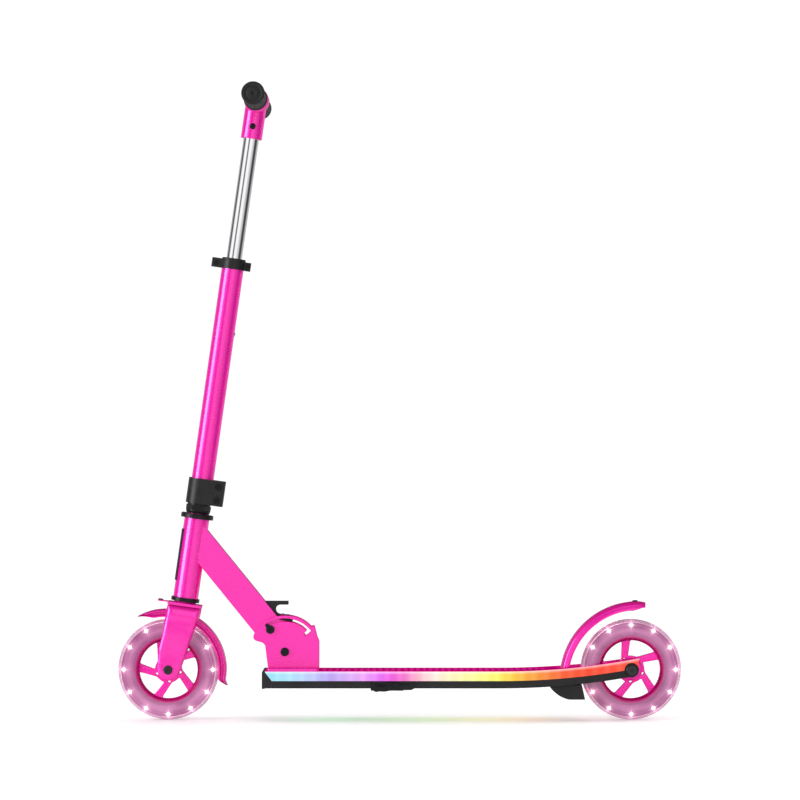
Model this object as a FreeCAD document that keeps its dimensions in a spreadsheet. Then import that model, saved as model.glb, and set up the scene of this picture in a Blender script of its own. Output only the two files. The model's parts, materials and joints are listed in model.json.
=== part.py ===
import FreeCAD, Part
import math
import os

import Sketcher
from FreeCAD import Placement, Rotation, Vector

# Folding kick scooter with light-up wheels and light strips along the deck.
# +Z is up, +X points to the rear, +Y to the rider's right.
# The origin is on the ground, halfway between the axles, on the centre plane.

DIMENSIONS = {
    # wheels
    "wheel_base": 666.6,
    "wheel_radius": 72.5,
    "tyre_width": 24,
    "crown_drop": 3.7,
    "core_outer_radius": 67.5,
    "core_width": 22,
    "rim_radius": 46,
    "rim_opening_radius": 42,
    "rim_width": 20,
    "spoke_thickness": 11,
    "spoke_offset": 10.75,
    "hub_width": 23,
    "hub_radius": 15,
    "hub_disc_radius": 19.5,
    "led_ring_radius": 64.2,
    "led_radius": 2.6,
    "bearing_radius": 11,
    "bearing_width": 7,
    "axle_radius": 3.95,
    # steering column, measured along its tilted axis from the height of the wheel centres
    "steering_tilt": 8.15,
    "crown_bottom": 92.4,
    "crown_top": 96.4,
    "head_tube_bottom": 104.25,
    "head_tube_top": 219.7,
    "head_tube_radius": 18,
    "steerer_radius": 14.3,
    "upper_cup_top": 226.4,
    "lock_nut_top": 241.2,
    "clamp_top": 277.5,
    "clamp_radius": 19.6,
    "clamp_reach": 33.7,
    "outer_tube_radius": 15.9,
    "outer_tube_top": 584.4,
    "tube_wall": 1.5,
    "collar_bottom": 582.6,
    "collar_top": 598.3,
    "inner_tube_radius": 11.1,
    "inner_tube_bottom": 430,
    "snap_height": 489.8,
    "snap_spacing": 50,
    "tee_bottom": 772.5,
    "tee_radius": 15.35,
    "bar_height": 827.9,
    "bar_half_length": 171,
    "grip_radius": 16,
    "grip_start": 50,
    "grip_end": 172.5,
    # fork and front fender
    "fork_rake": 9.6,
    "leg_inner": 16.5,
    "leg_thickness": 4.5,
    "front_fender_radius": 87.2,
    "front_fender_skirt": 76.5,
    # folding joint
    "pivot_x": -165.3,
    "pivot_z": 98.5,
    "bracket_inner": 15.5,
    "bracket_thickness": 4,
    "bracket_radius": 52.2,
    "slot_radius": 45.8,
    "slot_width": 4.6,
    "lock_pin_radius": 2.1,
    "down_tube_width": 30,
    "down_tube_depth": 40,
    # deck
    "deck_half_width": 50,
    "deck_top": 72,
    "deck_bottom": 47.75,
    "strip_top": 71.5,
    "strip_bottom": 58.3,
    "strip_thickness": 3,
    "rail_thickness": 4,
    "deck_front": -197.5,
    "plate_thickness": 3.5,
    "plate_end": 257,
    "bend_start": 144,
    "rise_radius": 1150,
    "taper_radius": 812,
    # rear fender brake
    "rear_fender_radius": 112.7,
    "rear_fender_skirt": 101,
    "brake_pivot_x": 237,
    "brake_pivot_z": 66.5,
    "brake_pin_radius": 2.5,
}


class Size:
    """A number together with the spreadsheet expression that gives it."""

    def __init__(self, value, text):
        self.value = value
        self.text = text

    def __add__(self, other):
        return Size(self.value + number(other), f"({self.text} + {expression(other)})")

    __radd__ = __add__

    def __sub__(self, other):
        return Size(self.value - number(other), f"({self.text} - {expression(other)})")

    def __rsub__(self, other):
        return Size(number(other) - self.value, f"({expression(other)} - {self.text})")

    def __mul__(self, other):
        return Size(self.value * number(other), f"({self.text} * {expression(other)})")

    __rmul__ = __mul__

    def __truediv__(self, other):
        return Size(self.value / number(other), f"({self.text} / {expression(other)})")

    def __neg__(self):
        return Size(-self.value, f"(-1 * {self.text})")


def number(size):
    return size.value if isinstance(size, Size) else float(size)


def expression(size):
    return size.text if isinstance(size, Size) else repr(float(size))


def write_sheet(document):
    sheet = document.addObject("Spreadsheet::Sheet", "dims")
    for row, (alias, value) in enumerate(DIMENSIONS.items(), start=1):
        sheet.set(f"A{row}", alias.replace("_", " "))
        sheet.set(f"B{row}", str(value))
        sheet.setAlias(f"B{row}", alias)
    return {alias: Size(float(value), f"dims.{alias}") for alias, value in DIMENSIONS.items()}


doc = FreeCAD.newDocument("kick_scooter")
d = write_sheet(doc)
doc.recompute()
nodes = []


def bind(item, path, size):
    """Sets one property of an object from a size, and ties it to the sheet when it comes from there."""
    if isinstance(size, Size):
        item.setExpression(path, size.text)


# ---------------------------------------------------------------- sketches and features

def new_body(name, placement=None):
    body = doc.addObject("PartDesign::Body", name)
    body.Label = name
    if placement is not None:
        body.Placement = placement
    nodes.append(body)
    return body


def add_loop(sketch, vertices):
    """Draws one closed loop.

    A vertex is (x, y), or (x, y, radius) where an arc of that radius leads on to the next one:
    a positive radius turns left and a negative one turns right.
    """
    first = sketch.GeometryCount
    starts = []
    count = len(vertices)
    for index in range(count):
        here = vertices[index]
        there = vertices[(index + 1) % count]
        start = Vector(number(here[0]), number(here[1]), 0)
        end = Vector(number(there[0]), number(there[1]), 0)
        if len(here) == 3:
            radius = number(here[2])
            middle = (start + end) * 0.5
            half = (end - start) * 0.5
            left = Vector(-half.y, half.x, 0).normalize()
            depth = math.sqrt(max(radius * radius - half.Length ** 2, 0.0))
            centre = middle + left * math.copysign(depth, radius)
            circle = Part.Circle(centre, Vector(0, 0, 1), abs(radius))
            low, high = (start, end) if radius > 0 else (end, start)
            arc = Part.ArcOfCircle(circle, circle.parameter(low), circle.parameter(high))
            sketch.addGeometry(arc)
            starts.append((1, 2) if radius > 0 else (2, 1))
        else:
            sketch.addGeometry(Part.LineSegment(start, end))
            starts.append((1, 2))
    for index in range(count):
        follower = (index + 1) % count
        sketch.addConstraint(Sketcher.Constraint(
            "Coincident", first + index, starts[index][1], first + follower, starts[follower][0]))
    for index, vertex in enumerate(vertices):
        for kind, size in (("DistanceX", vertex[0]), ("DistanceY", vertex[1])):
            if isinstance(size, Size):
                place = sketch.addConstraint(Sketcher.Constraint(
                    kind, -1, 1, first + index, starts[index][0], size.value))
                sketch.setExpression(f"Constraints[{place}]", size.text)


def add_circle(sketch, x, y, radius):
    circle = Part.Circle(Vector(number(x), number(y), 0), Vector(0, 0, 1), number(radius))
    index = sketch.addGeometry(circle)
    place = sketch.addConstraint(Sketcher.Constraint("Radius", index, number(radius)))
    bind(sketch, f"Constraints[{place}]", radius)


def new_sketch(body, role, outlines, level=0.0):
    """A sketch on one of the body's own planes, at a level along that plane's normal."""
    sketch = body.newObject("Sketcher::SketchObject", f"{body.Name}_sketch")
    plane = next(item for item in body.Origin.OriginFeatures if item.Role == role)
    sketch.AttachmentSupport = (plane, [""])
    sketch.MapMode = "FlatFace"
    sketch.AttachmentOffset = Placement(Vector(0, 0, number(level)), Rotation())
    bind(sketch, "AttachmentOffset.Base.z", level)
    for outline in outlines:
        if isinstance(outline, tuple):
            add_circle(sketch, *outline)
        else:
            add_loop(sketch, outline)
    sketch.Visibility = False
    return sketch


def new_feature(body, kind, sketch, length=None):
    feature = body.newObject(kind, f"{body.Name}_{kind.split('::')[1].lower()}")
    feature.Profile = sketch
    if length is not None:
        feature.Length = number(length)
        bind(feature, "Length", length)
    return feature


def side_pad(body, outlines, y_low, y_high):
    """Adds the side outlines (x, z) between two widths."""
    sketch = new_sketch(body, "XZ_Plane", outlines, 0 - y_high)
    return new_feature(body, "PartDesign::Pad", sketch, y_high - y_low)


def side_pocket(body, outlines, y_low, y_high):
    sketch = new_sketch(body, "XZ_Plane", outlines, 0 - y_low)
    return new_feature(body, "PartDesign::Pocket", sketch, y_high - y_low)


def top_pad(body, outlines, z_low, z_high):
    """Adds the plan outlines (x, y) between two heights."""
    sketch = new_sketch(body, "XY_Plane", outlines, z_low)
    return new_feature(body, "PartDesign::Pad", sketch, z_high - z_low)


def top_pocket(body, outlines, z_low, z_high):
    sketch = new_sketch(body, "XY_Plane", outlines, z_high)
    return new_feature(body, "PartDesign::Pocket", sketch, z_high - z_low)


def front_pocket(body, outlines, x_low, x_high):
    """Cuts the front outlines (y, z) between two lengths."""
    sketch = new_sketch(body, "YZ_Plane", outlines, x_high)
    return new_feature(body, "PartDesign::Pocket", sketch, x_high - x_low)


def turn_upright(body, outlines, angle=360.0):
    """Revolves (radius, height) outlines about the body's Z axis."""
    sketch = new_sketch(body, "XZ_Plane", outlines)
    return revolve(body, sketch, angle)


def turn_across(body, outlines, angle=360.0):
    """Revolves (radius, width) outlines about the body's Y axis."""
    sketch = new_sketch(body, "XY_Plane", outlines)
    return revolve(body, sketch, angle)


def revolve(body, sketch, angle):
    feature = new_feature(body, "PartDesign::Revolution", sketch)
    feature.ReferenceAxis = (sketch, ["V_Axis"])
    feature.Angle = angle
    feature.Midplane = angle < 360.0
    return feature


def groove_across(body, outlines):
    sketch = new_sketch(body, "XY_Plane", outlines)
    feature = new_feature(body, "PartDesign::Groove", sketch)
    feature.ReferenceAxis = (sketch, ["V_Axis"])
    feature.Angle = 360
    return feature


def around(body, feature, count):
    """Repeats a feature evenly round the body's Y axis."""
    pattern = body.newObject("PartDesign::PolarPattern", f"{body.Name}_pattern")
    pattern.Originals = [feature]
    line = next(item for item in body.Origin.OriginFeatures if item.Role == "Y_Axis")
    pattern.Axis = (line, [""])
    pattern.Angle = 360
    pattern.Occurrences = count
    body.Tip = pattern
    return pattern


def soften(body, radius, wanted):
    """Rounds the edges of the body that the test picks out."""
    doc.recompute()
    base = body.Tip
    names = [f"Edge{index}" for index, edge in enumerate(base.Shape.Edges, start=1) if wanted(edge)]
    if not names:
        raise ValueError(f"{body.Label}: no edge to soften")
    feature = body.newObject("PartDesign::Fillet", f"{body.Name}_fillet")
    feature.Base = (base, names)
    feature.Radius = radius
    return feature


def rectangle(x_low, y_low, x_high, y_high):
    return [(x_low, y_low), (x_high, y_low), (x_high, y_high), (x_low, y_high)]


def hexagon(x, y, radius):
    corners = [math.radians(60 * step) for step in range(6)]
    return [(x + radius * math.cos(angle), y + radius * math.sin(angle)) for angle in corners]


def polar(radius, degrees, x=0.0, y=0.0):
    angle = math.radians(degrees)
    return x + radius * math.cos(angle), y + radius * math.sin(angle)


# ---------------------------------------------------------------- frames

AXLE_X = number(d["wheel_base"]) / 2
AXLE_Z = number(d["wheel_radius"])
FRONT_AXLE = Placement(Vector(-AXLE_X, 0, AXLE_Z), Rotation())
REAR_AXLE = Placement(Vector(AXLE_X, 0, AXLE_Z), Rotation())

TILT = math.radians(number(d["steering_tilt"]))
STEERING_BASE = Vector(number(d["fork_rake"]) / math.cos(TILT) - AXLE_X, 0, AXLE_Z)
STEERING = Placement(STEERING_BASE, Rotation(Vector(0, 1, 0), number(d["steering_tilt"])))
AXLE_DROP = -number(d["fork_rake"]) * math.tan(TILT)

PIVOT = Placement(Vector(number(d["pivot_x"]), 0, number(d["pivot_z"])), Rotation())
BRAKE_PIVOT = Placement(Vector(number(d["brake_pivot_x"]), 0, number(d["brake_pivot_z"])), Rotation())


def in_steering(x, z):
    """A point of the side view, in the steering column's own tilted coordinates."""
    local = STEERING.inverse().multVec(Vector(x, 0, z))
    return local.x, local.z


# ---------------------------------------------------------------- wheels

LED_COUNT = 12
SPOKE_COUNT = 5


def build_wheel(end, axle, first_spoke):
    half_tyre = d["tyre_width"] / 2
    shoulder = d["wheel_radius"] - d["crown_drop"]
    drop = number(d["crown_drop"])
    crown_curve = (number(half_tyre) ** 2 + drop ** 2) / (2 * drop)
    tyre = new_body(f"{end}_tyre", axle)
    turn_across(tyre, [[
        (d["core_outer_radius"], -half_tyre),
        (shoulder, -half_tyre, crown_curve),
        (shoulder, half_tyre),
        (d["core_outer_radius"], half_tyre),
    ]])

    half_core = d["core_width"] / 2
    core = new_body(f"{end}_light_core", axle)
    turn_across(core, [rectangle(d["rim_radius"], -half_core, d["core_outer_radius"], half_core)])
    socket = side_pocket(core, [(d["led_ring_radius"], 0, d["led_radius"])], -half_core - 1, half_core + 1)
    around(core, socket, LED_COUNT)

    lamps = new_body(f"{end}_wheel_leds", axle)
    lamp_reach = half_core + 0.3
    lamp = side_pad(lamps, [(d["led_ring_radius"], 0, d["led_radius"] - 0.05)], -lamp_reach, lamp_reach)
    around(lamps, lamp, LED_COUNT)

    build_rim(end, axle, first_spoke)

    bearings = new_body(f"{end}_wheel_bearings", axle)
    bore = d["axle_radius"] + 0.07
    outer_face = d["hub_width"] / 2
    inner_face = outer_face - d["bearing_width"]
    turn_across(bearings, [
        rectangle(bore, inner_face, d["bearing_radius"], outer_face),
        rectangle(bore, -outer_face, d["bearing_radius"], -inner_face),
    ])


def build_rim(end, axle, first_spoke):
    rim = new_body(f"{end}_rim", axle)
    half_rim = d["rim_width"] / 2
    half_spoke = d["spoke_thickness"] / 2
    lip = d["rim_radius"] - 1.2
    turn_across(rim, [[
        (d["rim_radius"], -half_rim), (lip, -half_rim), (d["rim_opening_radius"], -half_spoke),
        (d["rim_opening_radius"], half_spoke), (lip, half_rim), (d["rim_radius"], half_rim),
    ]])
    half_hub = d["hub_width"] / 2
    web = half_hub - d["bearing_width"]
    turn_across(rim, [[
        (d["bearing_radius"], -half_hub), (d["hub_radius"], -half_hub),
        (d["hub_radius"], -web), (d["hub_disc_radius"], -web),
        (d["hub_disc_radius"], web), (d["hub_radius"], web),
        (d["hub_radius"], half_hub), (d["bearing_radius"], half_hub),
        (d["bearing_radius"], web), (d["bearing_radius"] - 2, web),
        (d["bearing_radius"] - 2, -web), (d["bearing_radius"], -web),
    ]])
    offset = number(d["spoke_offset"])
    opening = number(d["rim_opening_radius"])
    inner_half_width = 4.5
    outer_half_width = 6.0
    corners = [
        (12.0, offset - inner_half_width),
        (opening + 1.0, offset - outer_half_width),
        (opening - 1.5, offset + outer_half_width),
        (12.0, offset + inner_half_width),
    ]
    spoke = side_pad(rim, [rotated(corners, first_spoke)], -half_spoke, half_spoke)
    around(rim, spoke, SPOKE_COUNT)
    hole_x, hole_y = polar(17.4, first_spoke - 32.8)
    hole = side_pocket(rim, [(hole_x, hole_y, 2.0)], -half_spoke, half_spoke)
    around(rim, hole, SPOKE_COUNT)


def rotated(points, degrees):
    angle = math.radians(degrees)
    cosine = math.cos(angle)
    sine = math.sin(angle)
    return [(x * cosine - y * sine, x * sine + y * cosine) for x, y in points]


def build_axle(name, axle, spacer_end, head_start, head_radius):
    """Axle bolt with its nut and the two spacer sleeves beside the hub."""
    bolt = new_body(name, axle)
    shaft = d["axle_radius"]
    head_end = head_start + 4.0
    spacer_start = d["hub_width"] / 2
    turn_across(bolt, [
        [(0, -head_end), (head_radius - 1.5, -head_end), (head_radius, 1.5 - head_end),
         (head_radius, -head_start), (shaft, -head_start), (shaft, head_end), (0, head_end)],
        [(shaft + 0.03, head_start), (head_radius, head_start), (head_radius, head_end - 0.5),
         (shaft + 0.03, head_end - 0.5)],
        rectangle(shaft + 0.05, spacer_start, shaft + 2.6, spacer_end),
        rectangle(shaft + 0.05, -spacer_end, shaft + 2.6, -spacer_start),
    ])
    side_pocket(bolt, [hexagon(0, 0, 2.9)], -head_end, 2.5 - head_end)


build_wheel("front", FRONT_AXLE, 18.0)
build_wheel("rear", REAR_AXLE, 12.8)


# ---------------------------------------------------------------- fork

LEG_OUTER = d["leg_inner"] + d["leg_thickness"]


def build_leg(name, y_low, y_high, outer_face):
    leg = new_body(name, STEERING)
    top = d["crown_bottom"]
    side_pad(leg, [[
        (-24.0, top), (-25.3, 45.0), (-28.0, 24.8), (-24.9, 1.0), (-9.0, -10.0), (5.0, -6.0),
        (24.4, 80.3), (25.0, top),
    ]], y_low, y_high)
    side_pad(leg, [(-d["fork_rake"], AXLE_DROP, 15.6)], y_low, y_high)
    side_pocket(leg, [(-d["fork_rake"], AXLE_DROP, d["axle_radius"] + 0.1)], y_low - 1, y_high + 1)
    face = number(outer_face)

    def on_outer_rim(edge):
        flat = all(abs(vertex.Point.y - face) < 0.01 for vertex in edge.Vertexes)
        box = edge.BoundBox
        big = max(box.XLength, box.ZLength) > 10.0
        return flat and big and box.ZMin < number(top) - 1.0

    soften(leg, 1.8, on_outer_rim)


def build_fork():
    crown = new_body("fork_crown", STEERING)
    tab_tip = (-39.0, d["crown_top"] - 1.6)
    side_pad(crown, [rectangle(-24.0, d["crown_bottom"], 25.0, d["crown_top"])], -LEG_OUTER, LEG_OUTER)
    side_pad(crown, [rectangle(tab_tip[0], tab_tip[1], -20.0, d["crown_top"])], -8.0, 8.0)
    race = [(d["steerer_radius"], d["crown_top"] - 1), (17.0, d["crown_top"] - 1),
            (15.5, d["crown_top"] + 2.2), (d["steerer_radius"], d["crown_top"] + 2.2)]
    turn_upright(crown, [race])
    top_pocket(crown, [(0, 0, d["steerer_radius"])], d["crown_bottom"] - 1, d["crown_top"] + 4)
    top_pocket(crown, [(-35.0, 0, 2.05)], d["crown_bottom"], d["crown_top"] + 1)

    build_leg("left_fork_leg", -LEG_OUTER, -d["leg_inner"], -LEG_OUTER)
    build_leg("right_fork_leg", d["leg_inner"], LEG_OUTER, LEG_OUTER)

    steerer = new_body("steerer_tube", STEERING)
    turn_upright(steerer, [rectangle(
        d["steerer_radius"] - 2.2, d["crown_bottom"], d["steerer_radius"], d["clamp_top"] - 6)])

    screw = new_body("front_fender_screw", STEERING * Placement(Vector(-35.0, 0, 0), Rotation()))
    top = d["crown_top"]
    end = top - 2.2
    turn_upright(screw, [[(0, end), (2.0, end), (2.0, top), (3.6, top), (3.2, top + 1.6),
                          (0, top + 1.6)]])


def fender_section(crown, skirt, half_width, wall):
    """Cross-section of a pressed fender: crown, rounded shoulders and skirts with a small lip."""
    shoulder = half_width - 4.5
    waist = half_width - 1.4
    lip_start = skirt + 3.5
    outer = [
        (crown, -shoulder, -14.0), (crown - 5.0, -waist), (lip_start, -waist), (skirt, -half_width),
    ]
    inner = [
        (skirt, wall - half_width), (lip_start, wall - waist),
        (crown - 5.0 - 0.4 * wall, wall - waist, 13.0),
        (crown - wall, -shoulder + 0.4 * wall),
    ]
    lower = outer + inner
    upper = [(crown - wall, shoulder - 0.4 * wall, 13.0),
             (crown - 5.0 - 0.4 * wall, waist - wall), (lip_start, waist - wall),
             (skirt, half_width - wall), (skirt, half_width), (lip_start, waist),
             (crown - 5.0, waist, -14.0), (crown, shoulder)]
    return lower + upper


def arc_body(name, centre, middle_angle):
    """A body whose X axis points from the arc's centre at the middle of its sweep."""
    place = Placement(Vector(centre[0], 0, centre[1]), Rotation(Vector(0, 1, 0), -middle_angle))
    return new_body(name, place)


def build_front_fender():
    start, end = -9.4, 117.5
    middle = (start + end) / 2
    fender = arc_body("front_fender", (-337.1, 72.1), middle)
    section = fender_section(d["front_fender_radius"], d["front_fender_skirt"], 16.0, 1.6)
    turn_across(fender, [section], end - start)
    tip_angle = end - middle
    wedge = [polar(90.0, tip_angle + 1), polar(70.0, tip_angle + 1), polar(70.0, tip_angle - 16),
             polar(76.6, tip_angle - 20), polar(81.5, tip_angle - 9)]
    side_pocket(fender, [wedge + [polar(86.0, tip_angle)]], -20.0, 20.0)
    root = start - middle
    taper = [polar(90.0, root - 1), polar(70.0, root - 1), polar(70.0, root + 10),
             polar(76.6, root + 12), polar(81.0, root + 5)]
    side_pocket(fender, [taper + [polar(85.4, root)]], -20.0, 20.0)
    lip = [polar(86.9, root + 1.5), polar(85.3, root + 1.5),
           polar(90.3, root - 4.4), polar(91.7, root - 4.9)]
    side_pad(fender, [lip], -14.0, 14.0)


build_fork()
build_front_fender()
build_axle("front_axle_bolt", FRONT_AXLE, d["leg_inner"], LEG_OUTER, 6.5)


# ---------------------------------------------------------------- head tube and headset

def build_headset():
    steerer_gap = d["steerer_radius"] + 0.06
    head = new_body("head_tube", STEERING)
    turn_upright(head, [rectangle(
        d["head_tube_radius"] - 1.8, d["head_tube_bottom"], d["head_tube_radius"], d["head_tube_top"])])

    upper = new_body("upper_headset_cup", STEERING)
    bottom = d["head_tube_top"]
    top = d["upper_cup_top"]
    turn_upright(upper, [[
        (14.9, bottom - 6), (16.2, bottom - 6), (16.2, bottom), (23.4, bottom), (23.4, top - 1),
        (22.4, top), (20.2, top), (20.2, bottom + 1.3), (14.9, bottom + 1.3),
    ]])

    lower = new_body("lower_headset_cup", STEERING)
    top = d["head_tube_bottom"]
    bottom = top - 5.35
    turn_upright(lower, [[
        (14.9, top + 6), (16.2, top + 6), (16.2, top), (20.4, top), (20.4, bottom),
        (18.4, bottom), (18.4, top - 1.1), (14.9, top - 1.1),
    ]])

    bearings = new_body("headset_bearings", STEERING)
    upper_bearing = rectangle(
        steerer_gap, d["head_tube_top"] + 1.3, 20.2, d["upper_cup_top"] - 0.2)
    lower_bearing = rectangle(
        steerer_gap, d["head_tube_bottom"] - 4.9, 18.4, d["head_tube_bottom"] - 1.1)
    turn_upright(bearings, [upper_bearing, lower_bearing])

    nut = new_body("headset_lock_nut", STEERING)
    bottom = d["upper_cup_top"] + 0.3
    top = d["lock_nut_top"]
    bore = d["steerer_radius"]
    turn_upright(nut, [[(bore, bottom), (16.2, bottom), (17.6, bottom + 3.6), (17.6, bottom + 5),
                        (bore, bottom + 5)]])
    top_pad(nut, [hexagon(0, 0, 17.9), (0, 0, bore)], bottom + 5, top - 2.4)
    turn_upright(nut, [rectangle(bore, top - 2.4, 16.6, top)])

    badge = new_body("head_badge", STEERING * Placement(Vector(), Rotation(Vector(0, 0, 1), 180)))
    turn_upright(badge, [rectangle(d["head_tube_radius"], 128.0, d["head_tube_radius"] + 1.4, 202.5)], 58.0)


build_headset()


# ---------------------------------------------------------------- steering column

def build_column():
    tube = new_body("outer_stem_tube", STEERING)
    turn_upright(tube, [rectangle(
        d["outer_tube_radius"] - d["tube_wall"], d["lock_nut_top"] + 0.2,
        d["outer_tube_radius"], d["outer_tube_top"])])
    front_pocket(tube, [(0, d["snap_height"], 3.2)], 0, 20)

    clamp = new_body("stem_clamp", STEERING)
    bottom = d["lock_nut_top"]
    top = d["clamp_top"]
    radius = d["clamp_radius"]
    reach = d["clamp_reach"]
    top_pad(clamp, [[(0, -radius), (reach, -radius), (reach, radius), (0, radius, radius)]], bottom, top)
    top_pocket(clamp, [(0, 0, d["outer_tube_radius"])], bottom - 1, top + 1)
    top_pocket(clamp, [rectangle(14.0, -1.0, 40.0, 1.0)], bottom - 1, top + 1)
    side_pocket(clamp, [(x, z, 3.1) for x, z in clamp_bolt_places()], -radius - 1, radius + 1)
    side_pocket(clamp, [(x, z, 5.2) for x, z in clamp_bolt_places()], -radius - 1, 5 - radius)

    def long_edge(edge):
        box = edge.BoundBox
        return box.ZLength > 30.0 and box.XMin > number(reach) - 0.1 and abs(box.YMin) > 5.0

    soften(clamp, 1.5, long_edge)

    bolts = new_body("stem_clamp_bolts", STEERING)
    side_pad(bolts, [(x, z, 3.0) for x, z in clamp_bolt_places()], 1 - radius, radius - 2)
    side_pad(bolts, [(x, z, 5.0) for x, z in clamp_bolt_places()], 1 - radius, 5 - radius)
    side_pocket(bolts, [hexagon(x, z, 2.5) for x, z in clamp_bolt_places()], 1 - radius, 3.5 - radius)


def clamp_bolt_places():
    column = 25.5
    inset = 8.5
    return [(column, number(d["lock_nut_top"]) + inset), (column, number(d["clamp_top"]) - inset)]


def build_collar():
    bottom = d["collar_bottom"]
    top = d["collar_top"]
    step = d["outer_tube_top"] + 0.1
    slide_gap = d["inner_tube_radius"] + 0.06
    collar = new_body("height_collar", STEERING)
    turn_upright(collar, [[
        (d["outer_tube_radius"], bottom), (17.2, bottom), (17.2, top - 1), (16.2, top),
        (slide_gap, top), (slide_gap, step), (d["outer_tube_radius"], step),
    ]])
    side_pad(collar, [rectangle(-31.0, bottom, -16.0, bottom + 13.5)], -6.5, 6.5)
    side_pad(collar, [rectangle(16.0, bottom, 25.4, bottom + 12.4)], -6.5, 6.5)
    top_pocket(collar, [rectangle(-40.0, -0.6, 40.0, 0.6)], bottom - 1, top + 1)
    side_pocket(collar, [(x, z, 2.1) for x, z in collar_screw_places()], -8.0, 8.0)
    side_pocket(collar, [(x, z, 3.6) for x, z in collar_screw_places()], -8.0, -4.0)

    screws = new_body("collar_screws", STEERING)
    side_pad(screws, [(x, z, 2.0) for x, z in collar_screw_places()], -6.3, 5.5)
    side_pad(screws, [(x, z, 3.4) for x, z in collar_screw_places()], -6.3, -4.0)
    side_pocket(screws, [hexagon(x, z, 1.5) for x, z in collar_screw_places()], -6.3, -4.8)


def collar_screw_places():
    height = number(d["collar_bottom"]) + 6.5
    return [(-24.0, height), (21.3, height)]


def build_handlebar():
    inner = new_body("inner_stem_tube", STEERING)
    turn_upright(inner, [rectangle(
        d["inner_tube_radius"] - d["tube_wall"], d["inner_tube_bottom"],
        d["inner_tube_radius"], d["tee_bottom"] + 32)])
    for step in range(3):
        front_pocket(inner, [(0, d["snap_height"] + step * d["snap_spacing"], 3.4)], 0, 15)
    side_pocket(inner, [(0, d["tee_bottom"] + 17.7, 3.1)], -15, 15)

    bushing = new_body("inner_stem_bushing", STEERING)
    low = d["inner_tube_bottom"] - 3
    running = d["outer_tube_radius"] - d["tube_wall"] - 0.06
    turn_upright(bushing, [[
        (d["inner_tube_radius"] - d["tube_wall"], low), (running, low), (running, low + 26),
        (d["inner_tube_radius"], low + 26), (d["inner_tube_radius"], low + 3),
        (d["inner_tube_radius"] - d["tube_wall"], low + 3),
    ]])

    tee = new_body("tee_handlebar", STEERING * Placement(Vector(0, 0, number(d["bar_height"])), Rotation()))
    bar_radius = 11.1
    low = d["tee_bottom"] - d["bar_height"]
    sleeve = 14.4
    reach = 26.0
    turn_upright(tee, [[(0, low), (d["tee_radius"] - 0.8, low), (d["tee_radius"], low + 0.8),
                        (d["tee_radius"], 0), (0, 0)]])
    turn_across(tee, [[(0, -reach), (sleeve - 1.8, -reach), (sleeve, 1.8 - reach), (sleeve, reach - 1.8),
                       (sleeve - 1.8, reach), (0, reach)]])
    turn_across(tee, [rectangle(0, -d["bar_half_length"], bar_radius, d["bar_half_length"])])
    top_pocket(tee, [(0, 0, d["inner_tube_radius"])], low - 1, low + 32)
    turn_inside = rectangle(0, -d["bar_half_length"] - 1, bar_radius - 1.8, d["bar_half_length"] + 1)
    groove_across(tee, [turn_inside])
    side_pocket(tee, [(0, low + 17.7, 3.1)], -20, 20)
    side_pocket(tee, [(0, low + 17.7, 4.3)], -20, -14.6)

    bolt_place = Vector(0, 0, number(d["tee_bottom"]) + 17.7)
    bolt = new_body("tee_bolt", STEERING * Placement(bolt_place, Rotation()))
    turn_across(bolt, [[(0, -17.5), (3.2, -17.5), (4.2, -16.5), (4.2, -14.6), (3.05, -14.6), (3.05, 14.0),
                        (0, 14.0)]])
    side_pocket(bolt, [hexagon(0, 0, 2.2)], -17.5, -15.9)

    for side, name in ((-1, "left_grip"), (1, "right_grip")):
        build_grip(name, side)

    button = new_body("height_button", STEERING * Placement(
        Vector(0, 0, number(d["snap_height"])), Rotation(Vector(0, 1, 0), 90)))
    turn_upright(button, [[(0, 11.5), (3.1, 11.5), (3.1, 15.6), (2.3, 16.9), (0, 17.3)]])


def build_grip(name, side):
    grip = new_body(name, STEERING * Placement(
        Vector(0, 0, number(d["bar_height"])), Rotation(Vector(0, 0, 1), 0 if side > 0 else 180)))
    radius = d["grip_radius"]
    start = d["grip_start"]
    end = d["grip_end"]
    turn_across(grip, [[
        (11.1, start), (radius - 1, start), (radius + 1, start + 1.5), (radius + 1, start + 5),
        (radius - 0.8, start + 6.5), (radius - 1.2, (start + end) / 2), (radius - 0.6, end - 10),
        (radius, end - 6), (radius, end - 1.2), (radius - 1.2, end), (1.7, end), (1.7, end - 1.5),
        (11.1, end - 1.5),
    ]])


build_column()
build_collar()
build_handlebar()


# ---------------------------------------------------------------- down tube and folding joint

TUBE_SLOPE = 50.9
ALONG = Vector(math.cos(math.radians(TUBE_SLOPE)), 0, -math.sin(math.radians(TUBE_SLOPE)))
ACROSS = Vector(math.sin(math.radians(TUBE_SLOPE)), 0, math.cos(math.radians(TUBE_SLOPE)))
TUBE_LINE = -62.7


def tube_point(along_from_pivot, across):
    """A point in the steering coordinates, from its place along and across the down tube."""
    pivot = PIVOT.Base
    start = pivot.dot(ALONG)
    point = ALONG * (start + along_from_pivot) + ACROSS * (TUBE_LINE + across)
    return in_steering(point.x, point.z)


def on_column_axis(across):
    """Where a line along the tube crosses the steering axis."""
    low = Vector(*tube_point(-200.0, across), 0)
    high = Vector(*tube_point(0.0, across), 0)
    share = -low.x / (high.x - low.x)
    return 0.0, low.y + (high.y - low.y) * share


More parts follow.
